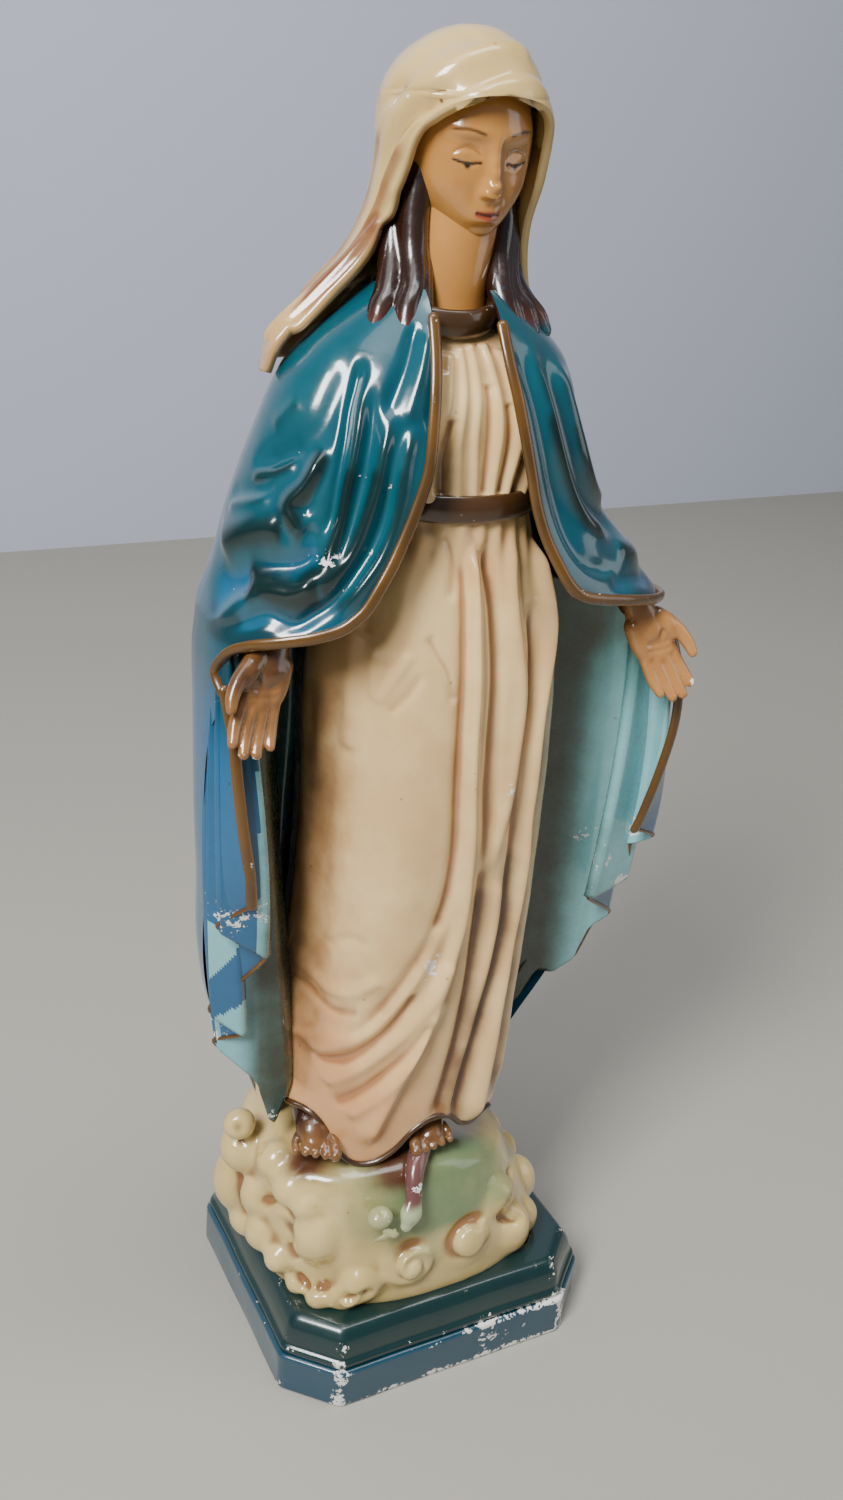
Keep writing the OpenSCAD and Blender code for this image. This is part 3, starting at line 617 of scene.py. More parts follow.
# Dimples: x, y, z, half sizes and depth
DIMPLES = [((-68, 4, 62), (4, 8, 9), -4.0), ((-37, -56, 44), (3.4, 6, 3.6), -3.4),
           ((-74, -6, 103), (2.2, 4, 2.4), -1.4), ((30, -54, 62), (3, 6, 5), -2.0),
           ((-60, -30, 66), (5, 6, 4), -2.2)]


class STATUE_OT_clouds(bpy.types.Operator):
    """Makes the cloud mound under the feet"""
    bl_idname = "statue.clouds"
    bl_label = "Clouds"

    def execute(self, context):
        hue = context.scene.statue_colours
        height = SOLE - PLINTH_TOP

        def place(u, v):
            k = np.clip(v * 1.3 - 0.1, 0, 1)
            row = along(MOUND, k)
            close = np.clip(np.where(v < 0.5, v * 13, (1 - v) * 5), 0, 1) ** 0.5
            x, y = section(2 * math.pi * u, row, 0.78)
            slope = step(-10, 60, x) * 16 * k
            return x * close - 2, y * close + 2, PLINTH_TOP + height * k - slope - 1.5

        core = surface("core", 96, 40, place)
        puffs = [ball(p[:3], (p[3], p[3] * 0.9, p[4])) for p in PUFFS]
        mound = cast([core] + puffs, "cloud_mound_skin", context.scene.statue_sizes.grain / MM, rounds=24)
        for x, z, radius, turns in CURLS:
            share = np.linspace(0, 1, 18)
            turn = 0.6 + 2 * math.pi * turns * share
            size = radius * (1 - (0.75 if turns > 1 else 0.1) * share)
            path = np.stack([x + size * np.cos(turn), -60 + 0 * turn, z + size * 0.95 * np.sin(turn)], -1)
            cut_from_front(mound, path, 2.2, 2.6)
        for path, width, depth in GROOVES:
            furrow(mound, path, width, depth)
        for place_at, sizes, amount in DIMPLES:
            dab(mound, place_at, sizes, amount)
        points = get_points(mound)
        points[:, 2] = np.maximum(points[:, 2], (PLINTH_TOP - 0.8) * MM)
        set_points(mound, points)
        x, y, z = (points / MM).T
        top = step(59, 74, z) * step(-60, -40, x) * step(-20, -36, y)
        green = top * (0.4 + 0.4 * bump(x, 8, 24))
        green = green + 0.4 * step(-10, -30, y) * bump(x, -12, 22) * step(40, 60, z)
        green = green * step(46, 28, x)
        attribute(mound, "accent", np.clip(green, 0, 0.85))
        # Painted shade: on the upper slope of the figure's left side, on the top beside the feet and the
        # serpent, and in the deep dimples.
        painted_shade = 0.6 * step(30, 44, x) * step(58, 74, z)
        for cx, cy, size, low, high in ((-20, -42, 13, 82, 92), (-52, -26, 11, 86, 94)):
            painted_shade = painted_shade + bump(np.hypot(x - cx, y - cy), 0, size) * step(low, high, z)
        for centre, sizes, amount in DIMPLES:
            away = np.stack([(p - middle) / size for p, middle, size in zip((x, y, z), centre, sizes)])
            painted_shade = painted_shade + 0.45 * np.exp(-(away ** 2).sum(0))
        attribute(mound, "stain_and_shade", np.clip(painted_shade, 0, 0.9))
        skin = paint("cloud_paint", chosen(hue.cloud), "c4a867", chosen(hue.grass), "8a5f36", "54301e",
                     0.95, 0.15, 0.2)
        finish(mound, "cloud_cream", ["cloud_mound"], skin, reach=22)
        return {"FINISHED"}


def cut_from_front(piece, path, width, depth):
    """A furrow along a line drawn on the front, at whatever depth the surface lies."""
    points, normals = get_points(piece), get_normals(piece)
    p = points / MM
    front = step(0.05, 0.35, -normals[:, 1]) * step(0, -20, p[:, 1])
    line = np.array(path, float)[:, [0, 2]]
    cut = fold(p[:, 0], p[:, 2], line, width, depth, 0, (0.1, 0.2))
    set_points(piece, (p - normals * (cut * front)[:, None]) * MM)


# ---------------------------------------------------------------- gown
SKIRT = [[0, -59, 40, -41, 31], [0.08, -58, 41, -42, 32], [0.2, -55, 43, -41, 34], [0.4, -50, 46, -39, 34],
         [0.58, -48, 47, -40, 34], [0.75, -48, 46, -39, 34], [0.86, -44, 42, -36, 34],
         [0.95, -33, 32, -32, 33], [1, -29, 29, -30, 32]]
BODICE = [[0, -35, 35, -30, 32], [0.3, -38, 36, -31, 30], [0.6, -43, 37, -30, 28], [0.8, -42, 34, -25, 26],
          [0.93, -34, 20, -20, 23], [1.05, -24, 9, -18, 19]]
# Height of the skirt's hem at x across the front
HEM = [[-64, 108], [-58, 115], [-52, 117], [-47, 112], [-42, 101], [-37, 96], [-30, 96], [-22, 101],
       [-14, 110], [-6, 113], [2, 111], [8, 105], [14, 103], [20, 104], [30, 101], [45, 100]]
# Folds of the skirt's front: path in x and z, width at its two ends, height, steep side
SKIRT_FOLDS = [
    ([(-3, 347), (-2, 325), (-1, 297), (-1, 268), (1, 235), (1, 205), (-3, 185), (-9, 165), (-18, 144),
      (-27, 122), (-33, 104)], (2.6, 5.5), 4.4, -1),
    ([(-7, 347), (-6, 320), (-6, 298), (-6, 262), (-5, 231), (-7, 211), (-12, 197), (-21, 180), (-32, 163),
      (-42, 152)], (2, 2.6), -2.6, 0),
    ([(24, 345), (31, 319), (32, 305), (28, 280), (27, 240), (28, 213), (25, 185), (21, 155), (17, 125),
      (14, 100)], (3, 4.5), 4.8, -1),
    ([(12, 347), (13, 323), (16, 306), (18, 290), (18, 272), (16, 253), (13, 235), (10, 215)], (2.8, 3), 2.8,
     0),
    ([(1, 346), (5, 329), (7, 313), (8, 296), (8, 258), (10, 233), (10, 200), (8, 170), (4, 146), (0, 128),
      (-5, 108)], (2.4, 4), -4.2, 0),
    ([(22, 322), (25, 303), (24, 282), (22, 262), (23, 237), (23, 205), (20, 180), (14, 155), (8, 130),
      (3, 106)], (2.2, 3.4), -4.0, 0),
    ([(16, 215), (16, 190), (11, 160), (4, 130), (-1, 108)], (2.2, 3.2), 2.2, 0),
    ([(-53, 150), (-48, 147), (-39, 153), (-27, 166), (-16, 184), (-9, 203)], (3.6, 3.2), 2.3, 0),
    ([(-50, 141), (-39, 146), (-27, 158), (-16, 175)], (2, 2), -2.1, 0),
    ([(-54, 182), (-48, 174), (-39, 173), (-29, 181)], (2.4, 2.4), 1.6, 0),
    ([(-53, 170), (-45, 164), (-36, 165)], (2, 2), -1.6, 0),
    ([(-48, 132), (-35, 142), (-22, 155), (-11, 171), (-4, 187)], (2.6, 2.6), 1.9, 0),
    ([(-45, 124), (-32, 134), (-20, 147), (-10, 162)], (1.8, 1.8), -1.9, 0),
    ([(-40, 118), (-26, 134), (-14, 151), (-5, 168)], (2.2, 2.2), 1.6, 0),
    ([(-21, 301), (-25, 294), (-31, 287)], (1.6, 1.6), -0.9, 0),
    ([(-19, 314), (-16, 308), (-12, 301), (-9, 290)], (1.6, 1.6), -1.3, 0),
    ([(-34, 312), (-35, 301), (-34, 292), (-29, 300), (-24, 309)], (1.8, 1.8), 1.1, 0),
    ([(-45, 190), (-39, 196), (-33, 195)], (1.5, 1.5), -0.9, 0),
    ([(-17, 348), (-22, 338), (-27, 321), (-33, 306)], (2.2, 2.6), 1.9, 0),
    ([(-13, 348), (-10, 338), (-11, 326)], (1.6, 1.8), -1.3, 0),
    ([(-24, 346), (-31, 330), (-38, 312)], (1.8, 2.4), -1.4, 0),
    ([(-39, 318), (-41, 300), (-41, 270)], (2.2, 2.2), 1.2, 0),
    ([(-44, 300), (-46, 250), (-47, 200), (-52, 150), (-56, 118)], (2.2, 2.6), -1.9, 0),
    ([(38, 330), (38, 300), (36, 250), (36, 200), (32, 150), (27, 104)], (2.2, 2.8), -2.6, 0),
    ([(44, 330), (44, 300), (43, 250), (42, 200), (38, 150), (33, 104)], (2.2, 2.8), 1.8, 0),
    ([(-57, 150), (-58, 130), (-59, 112)], (1.8, 2.2), 1.6, 0)]
BODICE_FOLDS = [
    ([(-8, 407), (-9, 395), (-11, 380), (-10, 364), (-9, 356)], (1.7, 1.9), 1.5, 0),
    ([(-12, 405), (-15, 392), (-20, 378), (-21, 366), (-17, 357)], (1.7, 2.4), 1.7, 0),
    ([(-4, 408), (-4, 394), (-5, 380), (-4, 366), (-3, 356)], (1.5, 1.7), 1.3, 0),
    ([(1, 408), (3, 394), (4, 380), (3, 366), (3, 356)], (1.5, 1.8), 1.6, 0),
    ([(6, 406), (9, 392), (11, 378), (9, 364), (8, 356)], (1.6, 2), 1.6, 0),
    ([(9, 403), (14, 388), (18, 374), (17, 362), (14, 356)], (1.8, 2.2), 1.5, 0),
    ([(-16, 400), (-21, 386), (-26, 372), (-27, 362)], (2, 2.2), 1.3, 0),
    ([(-14, 386), (-16, 374), (-15, 360)], (1.6, 1.6), -1.8, 0),
    ([(7, 390), (8, 376), (6, 360)], (1.3, 1.4), -1.4, 0),
    ([(0, 396), (0, 380), (0, 360)], (1.2, 1.3), -1.3, 0),
    ([(15, 380), (15, 370), (12, 359)], (1.5, 1.5), -1.5, 0)]


def crowd_front(t):
    """Spreads columns so that most of them fall on the front."""
    return math.pi * (0.62 * t + 0.38 * t ** 3)


def skirt_place(u, v):
    angle = crowd_front(2 * u - 1)
    inside = step(0.045, 0.03, v)
    rise = np.clip((v - 0.04) / 0.96, 0, 1)
    x0, _ = section(angle, along(SKIRT, 0 * u + 0.05), 0.92)
    low = np.where(np.cos(angle) > 0, along(HEM, x0)[..., 0], 100)
    z = low + (WAIST - low) * rise + 9 * np.clip((0.03 - v) / 0.03, 0, 1)
    x, y = section(angle, along(SKIRT, (z - SOLE) / (WAIST - SOLE)), 0.92)
    return x * (1 - 0.07 * inside), y * (1 - 0.09 * inside), z


def skirt_relief(u, v, points, depth):
    x, y, z = points[..., 0], points[..., 1], points[..., 2]
    front = step(6, -8, y)
    relief = np.zeros_like(x)
    for path, width, height, steep in SKIRT_FOLDS:
        relief += fold(x, z, path, width, height, steep, (0.06, 0.06))
    relief += 3.0 * bump(x, -24, 15) * bump(z, 238, 60) + 1.6 * bump(x, -27, 13) * bump(z, 200, 26)
    gathers = np.sin(x * 0.92 + 1.3) * 0.55 * step(322, 348, z)
    relief = (relief + gathers) * front
    angle = crowd_front(2 * u - 1)
    sides = np.cos(angle * 9 + 0.8 * np.sin(z / 60)) * 1.8 * step(6, 20, y) * step(354, 320, z)
    rough = unevenness(x, z, 46, 0.25, 3) * step(0.04, 0.06, v)
    return depth * (relief + sides) * step(0.036, 0.05, v) + rough


def bodice_relief(points, depth):
    x, y, z = points[..., 0], points[..., 1], points[..., 2]
    relief = np.zeros_like(x)
    for path, width, height, steep in BODICE_FOLDS:
        relief += fold(x, z, path, width, height, steep, (0.03, 0.05))
    relief += 2.4 * bump(x, -19, 9) * bump(z, 384, 13) + 2.4 * bump(x, 15, 8) * bump(z, 384, 13)
    return depth * relief * step(4, -6, y)


def band_tube(name, points, radius, flatten=0.55, sides=14, axis=(0, 0, 1)):
    """A flattened rounded band along a path."""
    piece = limb(points, [radius] * len(points), sides, flatten, axis)
    piece.name = name
    return piece


class STATUE_OT_gown(bpy.types.Operator):
    """Makes the gown: pleated skirt, gathered bodice, belt, bands and the arms' sleeves"""
    bl_idname = "statue.gown"
    bl_label = "Gown"

    def execute(self, context):
        hue, depth = context.scene.statue_colours, context.scene.statue_sizes.fold_depth
        cream = paint("gown_paint", chosen(hue.gown), "d8ae76", "d39c68", chosen(hue.gown_wash), "5e3a1e",
                      0.72, 0.1, 0.2)
        skirt = surface("gown_skirt_skin", 300, 318, skirt_place,
                        lambda u, v, p: skirt_relief(u, v, p, depth))
        apply(skirt, "SMOOTH", factor=0.5, iterations=8)
        x, y, z = (get_points(skirt) / MM).T
        # Painted shade: darker along the deepest fold valleys, down the left side where the mantle shades the
        # skirt, and over the back inside the mantle.
        deep = np.zeros_like(x)
        for path, width, amount in [([(9, 215), (8, 190), (4, 150), (-5, 106)], 4.0, 0.65),
                                    ([(22, 230), (21, 190), (13, 155), (3, 104)], 4.4, 0.75),
                                    ([(-7, 320), (-7, 260), (-6, 215), (-14, 192), (-30, 165)], 2.6, 0.3),
                                    ([(-46, 300), (-48, 210), (-56, 124)], 7, 0.5),
                                    ([(36, 300), (36, 200), (28, 104)], 5, 0.6)]:
            deep += fold(x, z, path, width, amount, 0, (0.1, 0.02))
        attribute(skirt, "stain_and_shade", np.clip(deep * step(10, -6, y) + 0.8 * step(-2, 8, y), 0, 1))
        warm = 0.8 * step(180, 115, z) * step(25, -30, x) + 0.35 * step(310, 350, z)
        warm = warm + 0.5 * step(-34, -46, x)
        attribute(skirt, "accent", np.clip(warm, 0, 1))
        chips = 0.5 * bump(np.hypot((x + 12) * 1.8, z - 186), 0, 8)
        chips = chips + 0.42 * bump(np.hypot(x - 16, (z - 255) * 0.6), 0, 3.4)
        attribute(skirt, "flake", np.clip(chips, 0, 0.6) * (y < 0))
        finish(skirt, "gown_cream", ["gown_skirt"], cream)

        def chest(u, v):
            z = WAIST - 1 + (NECK - WAIST + 4.5) * v
            x, y = section(crowd_front(2 * u - 1), along(BODICE, (z - WAIST) / (NECK - WAIST)), 0.92)
            return x, y, z

        bodice = surface("gown_bodice_skin", 260, 150, chest, lambda u, v, p: bodice_relief(p, depth))
        apply(bodice, "SMOOTH", factor=0.5, iterations=5)
        x, y, z = (get_points(bodice) / MM).T
        shade = 0.6 * bump(x, -15, 4) * bump(z, 368, 16) + 0.55 * bump(x, 15, 4) * bump(z, 372, 14)
        shade = shade + 0.5 * bump(z, 410, 4)
        attribute(bodice, "stain_and_shade", np.clip(shade, 0, 1) * (y < 0))
        finish(bodice, "gown_cream", ["gown_bodice"], cream, reach=20)

        gilt = paint("gilding", "4a3018", "38240f", "7a5424", "22160c", "1a110a", 0.6, 0.22, 0.3, 0.1)
        belt = band_tube("belt_skin", belt_path(356, 0.9), 1.9, 2.5, 18, (0, 0, 1))
        collar = band_tube("neckline_band_skin", collar_path(), 2.2, 2.1, 18, (0, 0, 1))
        hem = band_tube("hem_trim_skin", hem_path(), 1.5, 0.8, 10)
        for piece, node in ((belt, "belt"), (collar, "neckline_band"), (hem, "hem_trim")):
            finish(piece, "old_gold", [node], gilt, reach=6)
        for side, node in ((RIGHT, "right_arm"), (LEFT, "left_arm")):
            wrist = (-68, -20, 312.8) if side == RIGHT else (73, -20, 312.8)
            path = [(side * 30 - 4, 4, 386), (side * 50 - 3, 0, 350), (wrist[0] * 0.94, -14, 326), wrist]
            arm = cast([limb(path, [11, 9.5, 7, 5.6], 20)], node + "_skin", 1.2, 4)
            _, _, z = (get_points(arm) / MM).T
            # Sleeves painted dark brown all over: painted shade under the mantle.
            attribute(arm, "stain_and_shade", 0 * z + 0.9)
            finish(arm, "gown_cream", [node], cream, reach=8)
        return {"FINISHED"}


def belt_path(z, square):
    angles = np.radians(np.arange(-150, 151, 20))
    x, y = section(angles, along(SKIRT, 0 * angles + 1.0), square)
    return [(a * 1.03, b * 1.04 - 0.6, z) for a, b in zip(x, y)]


def collar_path():
    angles = np.radians(np.arange(-140, 141, 20))
    return [(-8 + 18 * math.sin(a), -4 - 17 * math.cos(a), 418 - 4.5 * math.cos(a)) for a in angles]


def hem_path():
    angles = np.radians(np.arange(-72, 44, 6))
    x, y = section(angles, along(SKIRT, 0 * angles + 0.05), 0.92)
    low = along(HEM, x)[..., 0]
    return [(a, b + 0.6, c + 0.6) for a, b, c in zip(x, y, low)]


# ---------------------------------------------------------------- mantle
MANTLE_FOOT, MANTLE_RISE = 104.0, 314.0
# Share of the height; x low, x high, y front, y back; right and left edge angles; squareness
MANTLE = [[0, -61, 46, -42, 38, 92, 92, 0.85], [0.05, -67, 57, -44, 38, 92, 92, 0.82],
          [0.12, -77, 71, -46, 38, 91, 91, 0.8], [0.2, -85, 81, -48, 37, 90, 90, 0.8],
          [0.36, -88, 91, -50, 37, 87, 88, 0.8], [0.5, -88, 96, -50, 37, 85, 86, 0.8],
          [0.57, -88, 97, -49, 38, 80, 82, 0.78], [0.63, -88, 95, -48, 39, 66, 66, 0.75],
          [0.665, -87, 90, -47, 39, 56, 54, 0.73], [0.69, -86, 84, -46, 39, 40, 42, 0.74],
          [0.73, -82, 74, -46, 38, 25, 34, 0.82], [0.79, -77, 60, -43, 39, 15, 32, 0.92],
          [0.87, -68, 50, -41, 38, 13, 28, 0.95], [0.93, -60, 44, -37, 36, 12, 24, 1],
          [0.965, -50, 36, -32, 34, 12, 24, 1], [1, -36, 22, -26, 31, 16, 30, 1],
          [1.02, -27, 12, -20, 24, 20, 34, 1]]
# Front edges of the cape: height and x
RIGHT_EDGE = [[290, -91], [300, -88], [309, -85], [314, -81], [317, -73], [321, -57], [327, -48], [334, -43],
              [346, -36], [360, -30], [373, -26], [390, -24], [409, -21], [425, -19]]
LEFT_EDGE = [[300, 98], [309, 93], [315, 87], [318, 74], [322, 55], [326, 36], [335, 26], [352, 17],
             [372, 11], [393, 6], [404, 4], [425, 3]]
# Folds of the cape: path in distance around the front and z, width at its ends, height, steep side
CAPE_FOLDS = [
    ([(-37, 415), (-38, 402), (-43, 387)], (1.8, 2.4), 1.9, 0),
    ([(-31, 414), (-31, 400), (-34, 384)], (1.7, 2.2), -1.6, 0),
    ([(-25, 413), (-24, 399), (-26, 384)], (1.7, 2.2), 1.5, 0),
    ([(-30, 388), (-33, 376), (-34, 364), (-36, 354), (-40, 344), (-47, 335), (-56, 326)], (2, 2.6), -2.4, 0),
    ([(-35, 392), (-38, 368), (-39, 358), (-42, 349), (-47, 341), (-53, 333), (-62, 327), (-71, 323),
      (-83, 325), (-95, 320), (-100, 315)], (2.2, 2.6), 2.8, 0),
    ([(-39, 390), (-42, 376), (-43, 367), (-47, 356), (-51, 346), (-57, 338), (-66, 330)], (2, 2.8), -3.0, 0),
    ([(-49, 399), (-48, 386), (-48, 376), (-49, 368), (-51, 358), (-54, 348), (-58, 341)], (2.2, 2.6), 2.4,
     0),
    ([(-52, 397), (-52, 384), (-53, 376), (-55, 366), (-56, 354), (-58, 346), (-64, 338), (-76, 333)],
     (1.8, 3), -3.0, 0),
    ([(-57, 405), (-57, 398), (-58, 389), (-58, 379), (-59, 367), (-60, 358), (-62, 350)], (2.6, 2.4), 3.0,
     1), ([(-62, 377), (-65, 369), (-69, 362), (-71, 356), (-67, 351), (-62, 348)], (1.6, 2), 1.8, 0),
    ([(-64, 378), (-70, 366), (-77, 359), (-73, 354), (-69, 351)], (2.8, 3), -4.2, 0),
    ([(-62, 348), (-69, 342), (-81, 339), (-97, 333), (-114, 326)], (2.6, 4.5), 3.4, 0),
    ([(-110, 341), (-100, 347), (-90, 351), (-77, 353)], (4.5, 4), -3.4, 0),
    ([(-95, 334), (-83, 334), (-72, 333), (-62, 336)], (3.5, 3.4), -3.6, 0),
    ([(-98, 368), (-86, 372), (-74, 377)], (2.2, 2.2), 1.3, 0),
    ([(-97, 364), (-86, 368), (-76, 372)], (1.4, 1.4), -1.8, 0),
    ([(-109, 357), (-96, 361), (-84, 364)], (2, 2), 1.2, 0),
    ([(-108, 353), (-96, 357), (-85, 360)], (1.4, 1.4), -1.6, 0),
    ([(-58, 406), (-63, 392), (-69, 381), (-83, 374), (-96, 368)], (5, 4.5), 2.4, 0),
    ([(-90, 380), (-78, 390)], (2, 2), -0.9, 0), ([(-105, 318), (-96, 327), (-86, 331)], (2.4, 2.4), -1.6, 0),
    ([(7, 410), (13, 395), (18, 376), (24, 359), (30, 345), (37, 337), (47, 333), (60, 332)], (4.4, 3.6), 2.8,
     1), ([(13, 410), (20, 391), (26, 374), (33, 359), (41, 349), (54, 343)], (2, 2.4), -3.0, 0),
    ([(19, 410), (26, 388), (33, 370), (40, 358), (51, 349), (66, 340)], (2.6, 3), 2.8, 0),
    ([(27, 404), (34, 386), (41, 369), (49, 358), (60, 350)], (2, 2.6), -2.4, 0),
    ([(35, 402), (42, 385), (49, 370), (58, 358), (70, 346)], (3, 3), 2.2, 0),
    ([(56, 338), (68, 334), (82, 328)], (2.2, 2.4), -2.4, 0),
    ([(50, 329), (64, 327), (80, 323)], (2.4, 2.6), 2.2, 0)]
# Painted shade in the cape's deepest folds and hollows: path, width, strength
CAPE_SHADES = [
    ([(-112, 342), (-100, 347), (-90, 350), (-78, 352)], 6.5, 0.85),
    ([(-95, 335), (-82, 334), (-70, 333), (-61, 336)], 6, 1.0),
    ([(-64, 378), (-70, 366), (-77, 359), (-72, 352)], 4, 0.95),
    ([(-42, 376), (-47, 356), (-53, 343), (-62, 333)], 2.8, 0.8),
    ([(-53, 376), (-56, 356), (-60, 343), (-70, 334)], 3, 0.85),
    ([(-33, 376), (-36, 354), (-45, 337), (-56, 327)], 2, 0.6),
    ([(-97, 364), (-86, 368), (-76, 372)], 1.8, 0.4),
    ([(20, 391), (26, 374), (33, 359), (41, 349), (54, 343)], 3, 0.9),
    ([(34, 386), (41, 369), (49, 358), (62, 349)], 3, 0.8), ([(56, 338), (68, 334), (82, 328)], 3, 0.8)]
# Zigzag edges of the hanging pleats, free edge first: the hem, half way up and under the hand
RIGHT_PLEATS = [
    [(-79, -31, 220), (-90, -22, 209), (-70, -26, 194), (-90, -13, 168), (-76, -18, 156), (-86, -7, 149),
     (-68, -12, 129), (-63, -14, 108), (-57, -13, 124), (-52, -4, 150)],
    [(-83, -32, 256), (-91, -22, 252), (-73, -27, 250), (-91, -12, 238), (-80, -18, 232), (-90, -5, 228),
     (-76, -10, 220), (-70, -10, 214), (-64, -9, 214), (-58, 2, 220)],
    [(-84, -17, 312), (-86, -10, 312), (-79, -14, 312), (-85, -4, 312), (-80, -6, 312), (-84, 0, 312),
     (-78, -2, 312), (-74, -2, 312), (-68, 0, 312), (-60, 8, 312)]]
LEFT_PLEATS = [
    [(83, -28, 220), (99, -21, 211), (90, -17, 207), (94, -12, 188), (70, -19, 186), (92, -8, 169),
     (85, -5, 163), (81, -1, 145), (73, 3, 137), (66, 6, 138), (55, 12, 104)],
    [(92, -28, 252), (100, -20, 250), (93, -17, 250), (97, -12, 248), (76, -20, 255), (95, -8, 245),
     (87, -5, 240), (83, -1, 235), (75, 3, 230), (66, 7, 230), (54, 12, 225)],
    [(91, -24, 297), (92, -18, 297), (88, -16, 299), (90, -10, 302), (78, -16, 306), (89, -6, 308),
     (83, -4, 310), (79, -1, 312), (71, 3, 314), (62, 7, 316), (50, 12, 318)]]


def mantle_row(z):
    return along(MANTLE, (z - MANTLE_FOOT) / MANTLE_RISE)


def mantle_edges(z, row):
    """The angles at which the mantle starts on the right and ends on the left."""
    square = row[..., 6]
    right = -angle_of(along(RIGHT_EDGE, z)[..., 0], row, square)
    left = angle_of(along(LEFT_EDGE, z)[..., 0], row, square)
    low_right, low_left = np.radians(row[..., 4]), np.radians(row[..., 5])
    blend = step(292, 306, z)
    return low_right + (right - low_right) * blend, low_left + (left - low_left) * blend


def mantle_place(u, v):
    z = MANTLE_FOOT + (MANTLE_RISE + 6) * np.interp(v, [0, 0.36, 1], [0, 0.6, 1])
    row = mantle_row(z)
    right, left = mantle_edges(z, row)
    w = u - 0.07 * np.sin(2 * math.pi * u)
    angle = -right - w * (2 * math.pi - right - left)
    x, y = section(angle, row, row[..., 6])
    return x, y, z


def around(x, y):
    """Distance around the front of the cape, from the middle outward on the right side."""
    return np.where(x < -20, x - 0.8 * (y + 38), x)


def mantle_relief(points, depth):
    x, y, z = points[..., 0], points[..., 1], points[..., 2]
    front = step(10, 0, y) * step(300, 312, z)
    relief = np.zeros_like(x)
    for path, width, height, steep in CAPE_FOLDS:
        relief += fold(around(x, y), z, path, np.array(width) * 1.25, height * 0.85, steep, (0.14, 0.16))
    relief *= front
    low = step(400, 350, z)
    way = np.arctan2(x / 90, y / 42)
    narrow = np.cos(way * 11 + 1.3 * np.sin(z / 75) + 0.9 * np.sin(way * 3)) * 2.0
    back = narrow + np.cos(way * 5 - z / 90) * 1.3
    relief += back * step(8, 24, y) * low
    return depth * relief + unevenness(y + x, z, 60, 0.35, 9)


def pleat_sheet(name, levels, flip):
    """A zigzag of hanging cloth between its hem and its gathered top."""
    lines = [np.array(level, float) for level in levels]
    count = len(lines[0]) - 1
    near = np.linspace(-0.17, 0.17, 7)

    def place(u, v):
        def along_line(line):
            return [sum(np.interp(np.clip(u * count + k, 0, count), np.arange(count + 1), line[:, c])
                        for k in near) / len(near) for c in range(3)]
        low, middle, top = (along_line(line) for line in lines)
        a, b, c = (1 - v) * (1 - 2 * v), 4 * v * (1 - v), v * (2 * v - 1)
        return tuple(a * low[k] + b * middle[k] + c * top[k] for k in range(3))

    piece = surface(name, count * 16, 90, place, closed=False)
    if flip:
        piece.data.flip_normals()
    return piece


def hem_line(level):
    """Points along the hem of a hanging pleat."""
    line = np.array(level, float)
    near = np.linspace(-0.14, 0.14, 5)
    spots = np.arange(0, len(line) - 1 + 0.01, 0.25)
    return [tuple(sum(np.interp(np.clip(s + k, 0, len(line) - 1), np.arange(len(line)), line[:, c])
                      for k in near) / len(near) for c in range(3)) for s in spots]


def cape_edge(side, heights):
    """Points along the cape's front edge."""
    z = np.array(heights, float)
    row = mantle_row(z)
    right, left = mantle_edges(z, row)
    x, y = section(-right if side == RIGHT else left, row, row[:, 6])
    return [(a, b - 0.7, c) for a, b, c in zip(x, y, z)]


